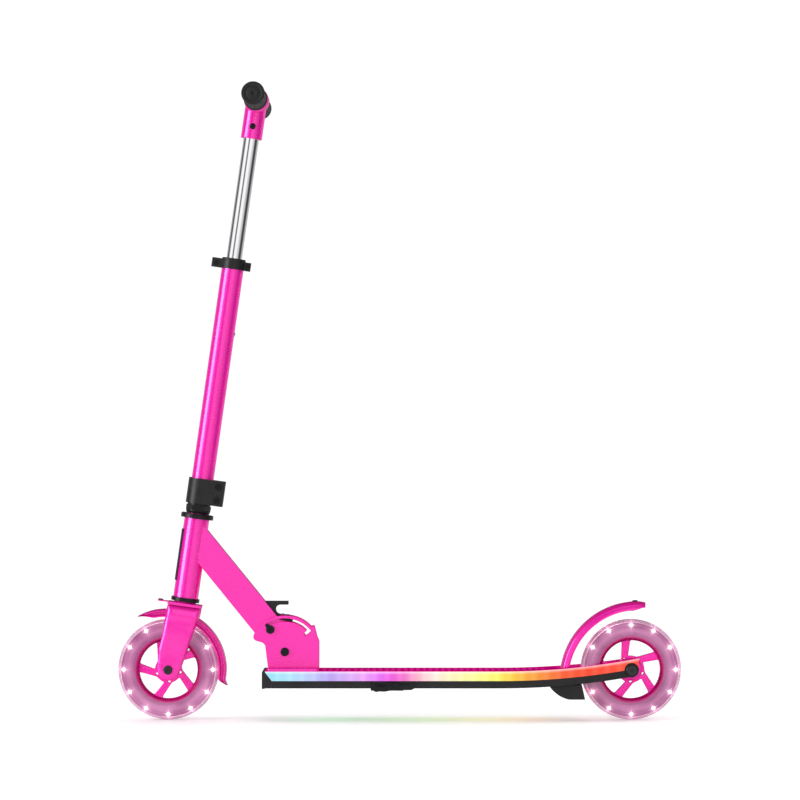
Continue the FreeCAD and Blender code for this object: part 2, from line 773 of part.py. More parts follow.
def build_down_tube():
    half_depth = number(d["down_tube_depth"]) / 2
    half_width = d["down_tube_width"] / 2
    wall = 2.0
    end = -14.0
    tube = new_body("down_tube", STEERING)
    side_pad(tube, [[on_column_axis(-half_depth), tube_point(end, -half_depth),
                     tube_point(end, half_depth), on_column_axis(half_depth)]], -half_width, half_width)
    hollow = half_depth - wall
    side_pocket(tube, [[tube_point(-230.0, -hollow), tube_point(end - 4, -hollow),
                        tube_point(end - 4, hollow), tube_point(-230.0, hollow)]],
                wall - half_width, half_width - wall)
    pivot = in_steering(PIVOT.Base.x, PIVOT.Base.z)
    side_pad(tube, [(*pivot, 20.0)], -14.5, 14.5)
    knuckle_trim = (*pivot, 5.06)
    side_pocket(tube, [knuckle_trim], -20.0, 20.0)
    lug = [tube_point(-48.0, half_depth - 1.0), tube_point(-32.0, half_depth - 1.0),
           tube_point(-36.5, half_depth + 9.0), tube_point(-44.0, half_depth + 9.0)]
    side_pad(tube, [lug], -8.0, -5.5)
    side_pad(tube, [lug], 5.5, 8.0)
    side_pad(tube, [(*lever_pivot(), 2.0)], -8.0, 8.0)
    side_pocket(tube, [(*lock_pin_place(), d["lock_pin_radius"])], -20.0, 20.0)
    top_pocket(tube, [(0, 0, d["head_tube_radius"])], 0, 400)


def lever_pivot():
    return tube_point(-40.2, number(d["down_tube_depth"]) / 2 + 5.7)


def lock_pin_place():
    x, z = polar(number(d["slot_radius"]), 123.6, PIVOT.Base.x, PIVOT.Base.z)
    return in_steering(x, z)


def bracket_outline():
    radius = number(d["bracket_radius"])
    arc_start = polar(radius, 145.0)
    arc_end = polar(radius, 46.8)
    return [
        (-24.2, -23.0), (49.2, -23.0), (49.2, 14.1), (46.3, 21.0), (42.9, 34.6, 2.0), (40.6, 36.6),
        (37.7, 36.4, -3.0), (arc_end[0], arc_end[1], radius), arc_start, (-45.3, 22.7, 6.5), (-40.0, 15.5),
        (-32.8, 13.4, -5.0), (-28.3, 9.0),
    ]


def slot_outline():
    """The curved slot with a notch at each end, where the lock pin travels while folding."""
    mean = number(d["slot_radius"])
    half = number(d["slot_width"]) / 2
    outer = mean + half
    inner = mean - half
    start, end = 126.9, 37.2
    notch = 37.6
    return [
        (*polar(outer, end), outer), (*polar(outer, start),), (*polar(notch, start + 0.6),),
        (*polar(notch, start - 6.8),), (*polar(inner, start - 5.8), -inner), (*polar(inner, end + 6.4),),
        (*polar(notch, end + 7.4),), (*polar(notch, end - 0.6),),
    ]


def build_bracket(name, y_low, y_high):
    bracket = new_body(name, PIVOT)
    side_pad(bracket, [bracket_outline()], y_low, y_high)
    side_pocket(bracket, [slot_outline()], y_low - 1, y_high + 1)
    side_pocket(bracket, [(0, 0, 5.05)], y_low - 1, y_high + 1)


def build_fold_joint():
    outer = d["bracket_inner"] + d["bracket_thickness"]
    build_bracket("left_fold_bracket", -outer, -d["bracket_inner"])
    build_bracket("right_fold_bracket", d["bracket_inner"], outer)

    bolt = new_body("fold_pivot_bolt", PIVOT)
    turn_across(bolt, [
        [(0, -outer - 3.6), (5.0, -outer - 3.6), (6.2, -outer - 2.4), (6.2, -outer), (5.0, -outer),
         (5.0, outer + 4), (0, outer + 4)],
        [(5.03, outer), (7.0, outer), (7.0, outer + 3.4), (5.03, outer + 3.4)],
    ])
    side_pocket(bolt, [hexagon(0, 0, 2.9)], -outer - 3.6, -outer - 1.4)

    pin = new_body("fold_lock_pin", PIVOT)
    pin_centre = polar(number(d["slot_radius"]), 123.6)
    cap_centre = polar(38.2, 122.9)
    gap = outer + 0.3
    side_pad(pin, [(*pin_centre, d["lock_pin_radius"])], -gap - 1, gap + 1)
    for side in (-1, 1):
        low, high = sorted((side * number(gap), side * (number(gap) + 3.4)))
        side_pad(pin, [(*cap_centre, 6.0)], low, high)
        low, high = sorted((side * number(gap), side * (number(gap) + 2.4)))
        side_pad(pin, [cap_tail(pin_centre, cap_centre)], low, high)
    side_pocket(pin, [hexagon(*cap_centre, 2.9)], -gap - 3.4, -gap - 1.4)


def cap_tail(tip, centre):
    """The cap narrows from its round head towards the pin."""
    towards = Vector(tip[0] - centre[0], tip[1] - centre[1], 0)
    length = towards.Length
    towards.normalize()
    sideways = Vector(-towards.y, towards.x, 0)
    points = [(0.0, 5.0), (length - 1, 2.9), (length + 2.4, 1.2), (length + 2.4, -1.2), (length - 1, -2.9),
              (0.0, -5.0)]
    return [(centre[0] + towards.x * a + sideways.x * b, centre[1] + towards.y * a + sideways.y * b)
            for a, b in points]


def build_release_lever():
    """Finger lever that hooks over the bracket between its plates."""
    lever = new_body("release_lever", STEERING)
    gap = 0.4
    half_depth = number(d["down_tube_depth"]) / 2

    def near_pivot(a, b):
        return in_steering(PIVOT.Base.x + a, PIVOT.Base.z + b)

    def beside_tube(height):
        across = number(half_depth) + gap + TUBE_LINE - PIVOT.Base.dot(ACROSS)
        return near_pivot((across - ACROSS.z * height) / ACROSS.x, height)

    hook = 7.0
    side_pad(lever, [[
        beside_tube(46.5), near_pivot(9.6, 42.0), near_pivot(11.4, 44.9), near_pivot(6.0, 52.6),
        near_pivot(-5.6, 53.4), (*near_pivot(-6.2, 53.5), -hook), near_pivot(-6.2, 67.5),
        near_pivot(4.9, 67.5), near_pivot(4.9, 72.3), beside_tube(72.3),
    ]], -12.0, 12.0)
    pivot = lever_pivot()
    side_pocket(lever, [(*pivot, 2.06)], -13.0, 13.0)
    ear_room = [near_pivot(-40.0, 40.0), near_pivot(4.5, 40.0),
                near_pivot(4.5, 56.5), near_pivot(-40.0, 60.0)]
    side_pocket(lever, [ear_room], -8.3, -5.2)
    side_pocket(lever, [ear_room], 5.2, 8.3)


build_down_tube()
build_fold_joint()
build_release_lever()


# ---------------------------------------------------------------- deck

BEND = number(d["bend_start"])


def rise(x, level):
    """Height of a deck line at x, for the line that runs level at that height ahead of the bend."""
    if x <= BEND:
        return level
    radius = number(d["rise_radius"]) + number(d["strip_top"]) - level
    return level + radius - math.sqrt(radius ** 2 - (x - BEND) ** 2)


def half_width_at(x, inset):
    """Half the deck's width at x, for the line that runs that far inside its edge."""
    straight = number(d["deck_half_width"]) - inset
    if x <= BEND:
        return straight
    radius = number(d["taper_radius"]) - inset
    return straight - radius + math.sqrt(radius ** 2 - (x - BEND) ** 2)


def side_band(front_low, front_high, low, high, end):
    """Side outline between two deck levels, rising in an arc behind the bend."""
    top_radius = number(d["rise_radius"]) + number(d["strip_top"]) - number(high)
    bottom_radius = number(d["rise_radius"]) + number(d["strip_top"]) - number(low)
    return [
        (front_low, low), (d["bend_start"], low, bottom_radius), (end, rise(end, number(low))),
        (end, rise(end, number(high)), -top_radius), (d["bend_start"], high), (front_high, high),
    ]


def plan_band(start, end, inner, outer, side):
    """Plan outline between two insets from the deck's edge, on one side."""
    outer_radius = number(d["taper_radius"]) - outer
    inner_radius = number(d["taper_radius"]) - inner
    half = number(d["deck_half_width"])
    points = [
        (start, half - inner), (BEND, half - inner, -inner_radius), (end, half_width_at(end, inner)),
        (end, half_width_at(end, outer), outer_radius), (BEND, half - outer), (start, half - outer),
    ]
    if side > 0:
        return points
    return [(point[0], -point[1], *[-radius for radius in point[2:]]) for point in points]


def plan_whole(start, end, inset):
    half = number(d["deck_half_width"]) - inset
    radius = number(d["taper_radius"]) - inset
    far = half_width_at(end, inset)
    return [
        (start, -half), (BEND, -half, radius), (end, -far), (end, far, radius), (BEND, half), (start, half),
    ]


SURROUND = rectangle(-230.0, -80.0, 370.0, 80.0)
DECK_HIGH = 110.0


def keep_plan(body, outlines):
    """Cuts away everything outside the plan outlines."""
    top_pocket(body, [SURROUND] + outlines, 0.0, DECK_HIGH)


def build_chassis():
    chassis = new_body("deck_chassis")
    half = d["deck_half_width"]
    front = -193.3
    web_bottom = 50.5
    arm_end = 344.0
    web_inset = 4.0
    web = 3.5
    side_pad(chassis, [side_band(front, front, web_bottom, d["deck_top"], arm_end)], -half, half)
    side_pad(chassis, [(AXLE_X, AXLE_Z, 10.0)], -half, half)
    side_pocket(chassis, [(AXLE_X, AXLE_Z, d["axle_radius"] + 0.1)], -half - 1, half + 1)
    top_pocket(chassis, [plan_whole(-230.0, 360.0, web_inset + web)], 0.0, DECK_HIGH)
    keep_plan(chassis, [plan_whole(front, 347.0, web_inset)])
    inner = half - web_inset - 1
    low = d["deck_top"] - d["plate_thickness"]
    plate = side_band(front, front, low, d["deck_top"], number(d["plate_end"]))
    side_pad(chassis, [plate], -inner, inner)
    keep_plan(chassis, [plan_whole(front, 347.0, web_inset)])
    slot_front = d["brake_pivot_x"] - 11
    top_pocket(chassis, [rectangle(slot_front, -18.5, 300.0, 18.5)], 60.0, DECK_HIGH)


def build_edge(side, strip_name, rail_name):
    """Light strip and the black rail under it, on one side of the deck."""
    half = d["deck_half_width"]
    strip_thickness = number(d["strip_thickness"])
    strip_end = 343.5
    strip = new_body(strip_name)
    side_pad(strip, [side_band(-183.3, -193.3, d["strip_bottom"], d["strip_top"], strip_end)], -half, half)
    side_pocket(strip, [(AXLE_X, AXLE_Z, 10.6)], -half - 1, half + 1)
    keep_plan(strip, [plan_band(-225.0, 360.0, strip_thickness, 0.0, side)])

    rail = new_body(rail_name)
    rail_top = d["strip_bottom"] - 0.05
    side_pad(rail, [side_band(-183.3, -183.3, d["deck_bottom"], rail_top, 335.0)], -half, half)
    side_pad(rail, [(AXLE_X, AXLE_Z, 10.5)], -half, half)
    side_pocket(rail, [(AXLE_X, AXLE_Z, d["axle_radius"] + 0.1)], -half - 1, half + 1)
    keep_plan(rail, [plan_band(-225.0, 360.0, number(d["rail_thickness"]), 0.0, side)])


def build_circuit_boards():
    """The two light strips' boards and the controller between them, under the deck plate."""
    boards = new_body("circuit_boards")
    half = d["deck_half_width"]
    low = number(d["strip_bottom"]) + 1.5
    high = number(d["strip_top"]) - 1.5
    side_pad(boards, [side_band(-180.0, -180.0, low, high, 318.0)], -half, half)
    back = number(d["rail_thickness"]) - 0.1
    face = number(d["strip_thickness"]) + 0.1
    keep_plan(boards, [plan_band(-225.0, 360.0, back, face, side) for side in (-1, 1)])
    middle = 175.0
    floor = 55.0
    top_pad(boards, [rectangle(middle - 26, -20.0, middle + 26, 20.0)], floor, floor + 1.6)
    top_pad(boards, [rectangle(middle - 14, -7.0, middle + 2, 7.0)], floor + 1.6, floor + 4.1)
    top_pad(boards, [(middle + 14, 8.0, 4.0)], floor + 1.6, floor + 9.6)
    posts = [(middle + x, y, 1.5) for x in (-22.0, 22.0) for y in (-16.0, 16.0)]
    top_pad(boards, posts, floor - 3.0, floor)


def build_underside():
    cap = new_body("front_cap")
    half = d["deck_half_width"]
    front = d["deck_front"]
    back = -193.4
    side_pad(cap, [[(front, d["deck_bottom"] - 0.6), (back, d["deck_bottom"] - 0.6), (back, d["deck_top"]),
                    (front + 1.5, d["deck_top"]), (front, d["deck_top"] - 1.5)]], -half, half)
    wing = [(back - 1, d["deck_bottom"]), (-183.5, d["deck_bottom"]), (-183.5, d["strip_bottom"]),
            (back, d["strip_top"] - 0.1), (back - 1, d["strip_top"] - 0.1)]
    side_pad(cap, [wing], -half, -half + d["rail_thickness"])
    side_pad(cap, [wing], half - d["rail_thickness"], half)

    tray = new_body("bottom_tray")
    low = d["deck_bottom"] + 0.2
    side_pad(tray, [side_band(-193.0, -193.0, low, low + 2.3, 212.0)], -half, half)
    keep_plan(tray, [plan_whole(-193.0, 212.0, number(d["rail_thickness"]) + 0.1)])


def build_battery_box():
    box = new_body("battery_box")
    half = 33.5
    wall = 2.0
    floor = 30.6
    top_front = (214.8, rise(214.8, number(d["deck_bottom"])))
    top_back = (261.4, 52.0)
    low_back = (266.2, floor)
    low_front = (243.0, floor)
    curve = 46.0
    side_pad(box, [[(*top_front, curve), low_front, low_back, top_back]], -half, half)
    side_pocket(box, [[(218.6, 54.0), (219.6, top_front[1] - 2.0, curve - wall), (243.0, floor + wall),
                       (263.8, floor + wall), (259.0, 54.0)]], wall - half, half - wall)
    top_pocket(box, [(248.0, 20.0, 3.65)], floor - 1, floor + wall + 1)

    cells = new_body("batteries")
    for x in (234.9, 245.5, 256.1):
        side_pad(cells, [(x, 42.5, 5.25)], -29.5, 13.5)
        side_pad(cells, [(x, 42.5, 1.9)], 13.5, 14.5)

    button = new_body("power_button", Placement(Vector(248.0, 20.0, 0), Rotation()))
    turn_upright(button, [[(0, floor - 1.6), (3.0, floor - 1.6), (3.5, floor - 1.1), (3.5, floor + 2.4),
                           (4.6, floor + 2.4), (4.6, floor + 3.6), (0, floor + 3.6)]])


def build_base_plate():
    plate = new_body("base_plate")
    low = d["deck_top"]
    high = low + d["plate_thickness"]
    top_pad(plate, [rectangle(-190.0, -45.0, -116.5, 45.0)], low, high)

    def upright_corner(edge):
        box = edge.BoundBox
        return box.ZLength > 1.0 and box.XLength < 0.1 and box.YLength < 0.1

    soften(plate, 4.0, upright_corner)


build_chassis()
build_edge(-1, "left_light_strip", "left_side_rail")
build_edge(1, "right_light_strip", "right_side_rail")
build_circuit_boards()
build_underside()
build_battery_box()
build_base_plate()
rear_head = 8.4
arm_inner = half_width_at(AXLE_X + 7, 7.5)
arm_outer = half_width_at(AXLE_X - rear_head, 0.0) + 0.05
build_axle("rear_axle_bolt", REAR_AXLE, arm_inner, arm_outer, rear_head)


# ---------------------------------------------------------------- rear fender brake

def build_brake():
    start, end = 84.6, 176.0
    middle = (start + end) / 2
    centre = (343.8, 57.3)
    half_width = 17.0
    wall = 2.0
    fender = arc_body("rear_fender", centre, middle)
    section = fender_section(d["rear_fender_radius"], d["rear_fender_skirt"], half_width, wall)
    turn_across(fender, [section], end - start)
    pivot = fender.Placement.inverse().multVec(BRAKE_PIVOT.Base)
    knuckle_radius = 6.0
    side_pad(fender, [(pivot.x, pivot.z, knuckle_radius)], -14.5, 14.5)
    side_pocket(fender, [(pivot.x, pivot.z, d["brake_pin_radius"] + 0.06)], -20.0, 20.0)

    pad = new_body("brake_pad")
    top_radius = number(d["rear_fender_radius"]) - wall - 0.05
    first = polar(top_radius, 86.5, *centre)
    last = polar(top_radius, 99.5, *centre)
    pad_lift = 11.8
    shoe_radius = AXLE_Z + pad_lift
    low_first = polar(shoe_radius, 87.5, AXLE_X, AXLE_Z)
    low_last = polar(shoe_radius, 105.5, AXLE_X, AXLE_Z)
    side_pad(pad, [[(*first, top_radius), last, (*low_last, -shoe_radius), low_first]], -9.0, 9.0)

    screw_angle = 92.3
    screw_x, screw_z = polar(number(d["rear_fender_radius"]), screw_angle, *centre)
    upright = Rotation(Vector(0, 1, 0), 90.0 - screw_angle)
    screw = new_body("brake_screw", Placement(Vector(screw_x, 0, screw_z), upright))
    turn_upright(screw, [[(0, 0.1), (4.4, 0.1), (3.4, 2.0), (0, 2.4)]])

    pin = new_body("brake_pin", BRAKE_PIVOT)
    reach = half_width_at(number(d["brake_pivot_x"]) + 3, 7.5) - 0.1
    side_pad(pin, [(0, 0, d["brake_pin_radius"])], -reach, reach)


build_brake()


# ---------------------------------------------------------------- kickstand

def build_kickstand():
    face = number(d["deck_half_width"])
    pivot_x, pivot_z = -33.0, 50.6
    bracket = new_body("kickstand_bracket")
    side_pad(bracket, [rectangle(-41.5, 44.6, 5.0, 57.2)], -face - 2.4, -face - 0.02)
    side_pad(bracket, [(x, 50.9, 3.4) for x in (-18.5, -3.0)], -face - 3.2, -face - 2.4)
    side_pad(bracket, [(pivot_x, pivot_z, 2.6)], -face - 8.4, -face - 2.4)
    side_pad(bracket, [(pivot_x, pivot_z, 4.4)], -face - 9.6, -face - 8.4)

    leg = new_body("kickstand_leg")
    near = -face - 8.2
    far = -face - 3.6
    side_pad(leg, [[(pivot_x, pivot_z + 6.6), (-22.0, 56.8), (-12.0, 54.4), (12.0, 52.6), (19.5, 54.2),
                    (22.4, 58.4), (24.9, 57.4), (23.6, 49.6), (17.0, 46.0), (-12.0, 45.2),
                    (-22.0, 43.6), (pivot_x, pivot_z - 6.6)]], near, far)
    side_pad(leg, [(pivot_x, pivot_z, 7.4)], near, far)
    side_pocket(leg, [(pivot_x, pivot_z, 2.66)], near - 1, far + 1)


build_kickstand()


# ---------------------------------------------------------------- checks and export

def check_and_export():
    doc.recompute()
    failed = [item.Label for item in doc.Objects if "Invalid" in item.State or "Error" in item.State]
    if failed:
        raise RuntimeError(f"failed: {failed}")
    for item in doc.Objects:
        if item.TypeId in ("PartDesign::Pocket", "PartDesign::Groove"):
            before = item.BaseFeature.Shape.Volume
            if item.Shape.Volume > before - 0.01:
                raise RuntimeError(f"{item.Label} cuts nothing")
    os.makedirs("parts", exist_ok=True)
    for node in nodes:
        shape = node.Shape
        if shape.isNull() or not shape.isValid() or not shape.Solids:
            raise RuntimeError(f"{node.Label} has no sound shape")
    for node in nodes:
        node.Shape.exportStep(f"parts/{node.Label}.step")
        print(f"{node.Label}: {len(node.Shape.Solids)} solids, {node.Shape.Volume / 1000:.2f} cm3")
    print(len(nodes), "nodes")


check_and_export()
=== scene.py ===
import json
import math

import bmesh
import bpy
from mathutils import Matrix, Vector
from mathutils.geometry import delaunay_2d_cdt


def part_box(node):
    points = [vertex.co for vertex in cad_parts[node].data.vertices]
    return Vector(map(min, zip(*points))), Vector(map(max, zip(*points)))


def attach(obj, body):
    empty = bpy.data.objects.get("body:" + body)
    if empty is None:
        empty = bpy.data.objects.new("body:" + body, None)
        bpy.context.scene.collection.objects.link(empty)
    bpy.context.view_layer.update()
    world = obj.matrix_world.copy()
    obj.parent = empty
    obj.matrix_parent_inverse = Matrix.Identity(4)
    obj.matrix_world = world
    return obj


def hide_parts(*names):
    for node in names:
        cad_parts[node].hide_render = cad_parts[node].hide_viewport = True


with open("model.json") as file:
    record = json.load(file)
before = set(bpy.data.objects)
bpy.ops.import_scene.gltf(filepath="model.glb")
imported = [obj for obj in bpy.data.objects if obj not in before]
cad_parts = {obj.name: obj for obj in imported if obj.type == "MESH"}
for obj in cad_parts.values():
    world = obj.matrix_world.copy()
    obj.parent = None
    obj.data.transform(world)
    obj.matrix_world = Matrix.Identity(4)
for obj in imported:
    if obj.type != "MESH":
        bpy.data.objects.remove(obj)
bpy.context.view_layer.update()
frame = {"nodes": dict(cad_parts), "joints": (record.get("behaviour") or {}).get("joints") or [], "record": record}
NODES = frame["nodes"]
MM = 0.001

# ---------------- places read from the frame


def centre_of(node):
    low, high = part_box(node)
    return (low + high) / 2


FRONT_AXLE = centre_of("front_tyre")
REAR_AXLE = centre_of("rear_tyre")
WHEEL_RADIUS = (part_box("front_tyre")[1].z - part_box("front_tyre")[0].z) / 2
STEER = next(joint for joint in frame["joints"] if joint["name"] == "steer")
STEER_UP = Vector(STEER["axis"]).normalized()
STEER_POINT = Vector(STEER["pos_m"])
STEER_BACK = Vector((STEER_UP.z, 0, -STEER_UP.x))


def steering_frame(origin):
    """A matrix whose Z runs up the steering column, with X towards the rear."""
    rows = [[STEER_BACK[i], (0.0, 1.0, 0.0)[i], STEER_UP[i], origin[i]] for i in range(3)]
    return Matrix(rows + [[0.0, 0.0, 0.0, 1.0]])


# ---------------- node helper

class Graph:
    """Short calls that build the nodes of one material or world."""

    def __init__(self, tree, fresh=True):
        self.tree = tree
        if fresh:
            self.tree.nodes.clear()

    def node(self, kind, inputs=None, **settings):
        made = self.tree.nodes.new(kind)
        for name, value in settings.items():
            setattr(made, name, value)
        for key, value in (inputs or {}).items():
            self.feed(made.inputs[key], value)
        return made

    def feed(self, socket, value):
        if isinstance(value, bpy.types.NodeSocket):
            self.tree.links.new(value, socket)
        elif isinstance(value, bpy.types.Node):
            self.tree.links.new(value.outputs[0], socket)
        else:
            socket.default_value = value

    def math(self, operation, first, second=0.0, third=0.0, clamp=False):
        made = self.node("ShaderNodeMath", operation=operation, use_clamp=clamp)
        for socket, value in zip(made.inputs, (first, second, third)):
            self.feed(socket, value)
        return made.outputs[0]

    def mix(self, factor, first, second, blend="MIX"):
        made = self.node("ShaderNodeMix", data_type="RGBA", blend_type=blend)
        for place, value in ((0, factor), (6, first), (7, second)):
            self.feed(made.inputs[place], value)
        return made.outputs[2]

    def noise(self, vector, scale, detail=3.0, roughness=0.5):
        inputs = {"Vector": vector, "Scale": scale, "Detail": detail, "Roughness": roughness}
        return self.node("ShaderNodeTexNoise", inputs).outputs["Fac"]

    def ramp(self, value, low, high, to_low=0.0, to_high=1.0):
        inputs = {"Value": value, "From Min": low, "From Max": high, "To Min": to_low, "To Max": to_high}
        return self.node("ShaderNodeMapRange", inputs).outputs[0]

    def place(self):
        """The point in the piece's own frame, in metres, which turns with its body."""
        return self.node("ShaderNodeTexCoord").outputs["Object"]

    def hypotenuse(self, first, second):
        squares = [self.math("MULTIPLY", value, value) for value in (first, second)]
        return self.math("SQRT", self.math("ADD", *squares))

    def band(self, share, stops, interpolation="LINEAR"):
        """Colours along a share from 0 to 1, from (share, RGBA) stops."""
        made = self.node("ShaderNodeValToRGB", {"Fac": share})
        made.color_ramp.interpolation = interpolation
        elements = made.color_ramp.elements
        for index, (position, colour) in enumerate(stops):
            stop = elements[index] if index < len(elements) else elements.new(position)
            stop.position = position
            stop.color = colour
        return made.outputs["Color"]

    def split(self, vector):
        return self.node("ShaderNodeSeparateXYZ", {"Vector": vector}).outputs

    def bump(self, strength, depth, height, normal):
        inputs = {"Strength": strength, "Distance": depth, "Height": height, "Normal": normal}
        return self.node("ShaderNodeBump", inputs)

    def principled(self, inputs):
        """The one shader of a material, joined to its output."""
        shader = self.node("ShaderNodeBsdfPrincipled", inputs)
        self.node("ShaderNodeOutputMaterial", {"Surface": shader})


def new_material(name):
    material = bpy.data.materials.new(name)
    material.use_nodes = True
    return material, Graph(material.node_tree)


def linear(red, green, blue):
    """A colour given as 0..255 in sRGB, as linear RGBA."""
    def one(value):
        share = value / 255
        return share / 12.92 if share <= 0.04045 else ((share + 0.055) / 1.055) ** 2.4
    return (one(red), one(green), one(blue), 1.0)


def rounded_normal(graph, radius):
    return graph.node("ShaderNodeBevel", {"Radius": radius}, samples=4).outputs[0]


def edge_mask(graph, rounded):
    """1 along the sharp edges, 0 on the faces."""
    flat = graph.node("ShaderNodeNewGeometry").outputs["Normal"]
    dot = graph.node("ShaderNodeVectorMath", {0: rounded, 1: flat}, operation="DOT_PRODUCT")
    return graph.ramp(dot.outputs["Value"], 0.995, 0.9)


# ---------------- materials

PINK = linear(255, 34, 178)
PINK_SHADE = linear(250, 24, 170)
PINK_PLASTIC = linear(252, 26, 172)
PINK_PLASTIC_SHADE = linear(240, 14, 158)
BLACK = (0.010, 0.010, 0.011, 1.0)
# Painted shade for the fenders' grooves and crowns.
PINK_PAINTED_SHADE = linear(206, 0, 130)
METALLIC = 0.34
PEEL_DEPTH = 0.005 * MM


def gloss_paint(name, colour, shade, roughness, peel_scale, coat=1.0):
    """Powder coat or a gloss moulding: fine orange peel, soft colour drift, thin bright edges, and painted shade
    on faces that look up.
    """
    material, graph = new_material(name)
    place = graph.place()
    rounded = rounded_normal(graph, 0.8 * MM)
    edges = edge_mask(graph, rounded)
    peel = graph.noise(place, peel_scale, 2.0)
    drift = graph.noise(place, 14.0, 4.0)
    dust = graph.noise(place, 420.0, 2.0)
    tone = graph.mix(graph.ramp(drift, 0.35, 0.68, 0.0, 0.22), colour, shade)
    wear_and_painted_shade = tuple(min(1.0, channel * 1.08 + 0.03) for channel in colour[:3]) + (1.0,)
    tone = graph.mix(graph.math("MULTIPLY", edges, 0.25), tone, wear_and_painted_shade)
    # Painted shade: faces that look up take a darker copy of the colour, with less metal and coat.
    normal = graph.node("ShaderNodeNewGeometry").outputs["Normal"]
    up = graph.ramp(graph.split(normal)["Z"], 0.3, 0.85)
    deep = (colour[0] * 0.50, colour[1] * 0.10, colour[2] * 0.42, 1.0)
    tone = graph.mix(graph.math("MULTIPLY", up, 0.85), tone, deep)
    rough = graph.ramp(dust, 0.3, 0.75, roughness - 0.03, roughness + 0.07)
    rough = graph.math("MULTIPLY_ADD", edges, 0.06, rough)
    bump = graph.bump(0.12, PEEL_DEPTH, peel, rounded)
    graph.principled({
        "Base Color": tone, "Roughness": rough, "Normal": bump,
        "Metallic": graph.ramp(up, 0.0, 1.0, METALLIC, 0.04),
        "Coat Weight": graph.ramp(up, 0.0, 1.0, 0.5 * coat, 0.06), "Coat Normal": rounded,
        "Coat Roughness": 0.14, "Coat IOR": 1.8, "Specular IOR Level": 0.1})
    return material


def grained(name, colour, roughness, grain_scale, grain_depth, sheen=0.0, metallic=0.0):
    """Moulded black plastic, rubber or blackened steel, with a fine grain and handled edges."""
    material, graph = new_material(name)
    place = graph.place()
    rounded = rounded_normal(graph, 0.5 * MM)
    edges = edge_mask(graph, rounded)
    grain = graph.noise(place, grain_scale, 3.0, 0.6)
    patches = graph.noise(place, 38.0, 3.0)
    light = tuple(min(1.0, channel * 2.2 + 0.004) for channel in colour[:3]) + (1.0,)
    tone = graph.mix(graph.ramp(patches, 0.3, 0.75, 0.0, 0.35), colour, light)
    tone = graph.mix(graph.math("MULTIPLY", edges, 0.5), tone, light)
    rough = graph.ramp(patches, 0.25, 0.8, roughness - 0.06, roughness + 0.08)
    rough = graph.math("MULTIPLY_ADD", edges, -0.08, rough)
    bump = graph.bump(0.6, grain_depth, grain, rounded)
    graph.principled({
        "Base Color": tone, "Roughness": rough, "Normal": bump, "Metallic": metallic,
        "Specular IOR Level": 0.28, "Sheen Weight": sheen, "Sheen Roughness": 0.5})
    return material


def turned_metal(name, colour, roughness, stretch, depth, tilt=0.0):
    """Bare or plated metal with fine drawn lines along one direction, tilted about the Y axis."""
    material, graph = new_material(name)
    mapping = graph.node("ShaderNodeMapping", {
        "Vector": graph.place(), "Rotation": (0.0, tilt, 0.0), "Scale": stretch})
    lines = graph.noise(mapping.outputs[0], 1.0, 4.0, 0.7)
    smudge = graph.noise(graph.place(), 30.0, 4.0)
    dull = tuple(channel * 0.82 for channel in colour[:3]) + (1.0,)
    tone = graph.mix(graph.ramp(lines, 0.3, 0.8, 0.0, 0.5), colour, dull)
    rough = graph.ramp(smudge, 0.3, 0.8, roughness, roughness * 1.9)
    bump = graph.bump(0.02, depth, lines, rounded_normal(graph, 0.3 * MM))
    graph.principled({
        "Base Color": tone, "Roughness": rough, "Normal": bump, "Metallic": 1.0})
    return material


def wheel_polar(graph, axle):
    """Radius from the axle and the turn round it, of the shaded point."""
    split = graph.split(graph.place())
    across = graph.math("SUBTRACT", split["X"], axle.x)
    up = graph.math("SUBTRACT", split["Z"], axle.z)
    return graph.hypotenuse(across, up), graph.math("ARCTAN2", up, across)


LED_COUNT = 12
LED_RING = 64.2 * MM
RAY_WIDTH = 0.45 * MM


def falloff(graph, distance, reach):
    """1 at no distance, a quarter at the reach."""
    share = graph.math("DIVIDE", distance, reach)
    spread = graph.math("MULTIPLY_ADD", share, share, 1.0)
    return graph.math("DIVIDE", 1.0, graph.math("MULTIPLY", spread, spread))


def lamp_shine(graph, axle, halo, point, flare_reach):
    """Painted glow round each of the wheel's lamps: a soft halo, and four short rays of the given reach that are a
    painted flare.
    """
    radius, turn = wheel_polar(graph, axle)
    steps = graph.math("MULTIPLY", turn, LED_COUNT / (2 * math.pi))
    nearest = graph.math("ROUND", steps)
    offset = graph.math("MULTIPLY", graph.math("SUBTRACT", steps, nearest), 2 * math.pi / LED_COUNT)
    side = graph.math("ABSOLUTE", graph.math("MULTIPLY", offset, radius))
    out = graph.math("ABSOLUTE", graph.math("SUBTRACT", radius, LED_RING))
    distance = graph.hypotenuse(side, out)
    soft = graph.math("MULTIPLY", falloff(graph, distance, halo), 0.42)
    glow = graph.math("MULTIPLY_ADD", falloff(graph, distance, point), 0.8, soft)
    # The four rays are a painted flare of each lamp.
    for across, along in ((side, out), (out, side)):
        thin = falloff(graph, across, RAY_WIDTH)
        glow = graph.math("MULTIPLY_ADD", thin, falloff(graph, along, flare_reach), glow)
    return radius, turn, glow


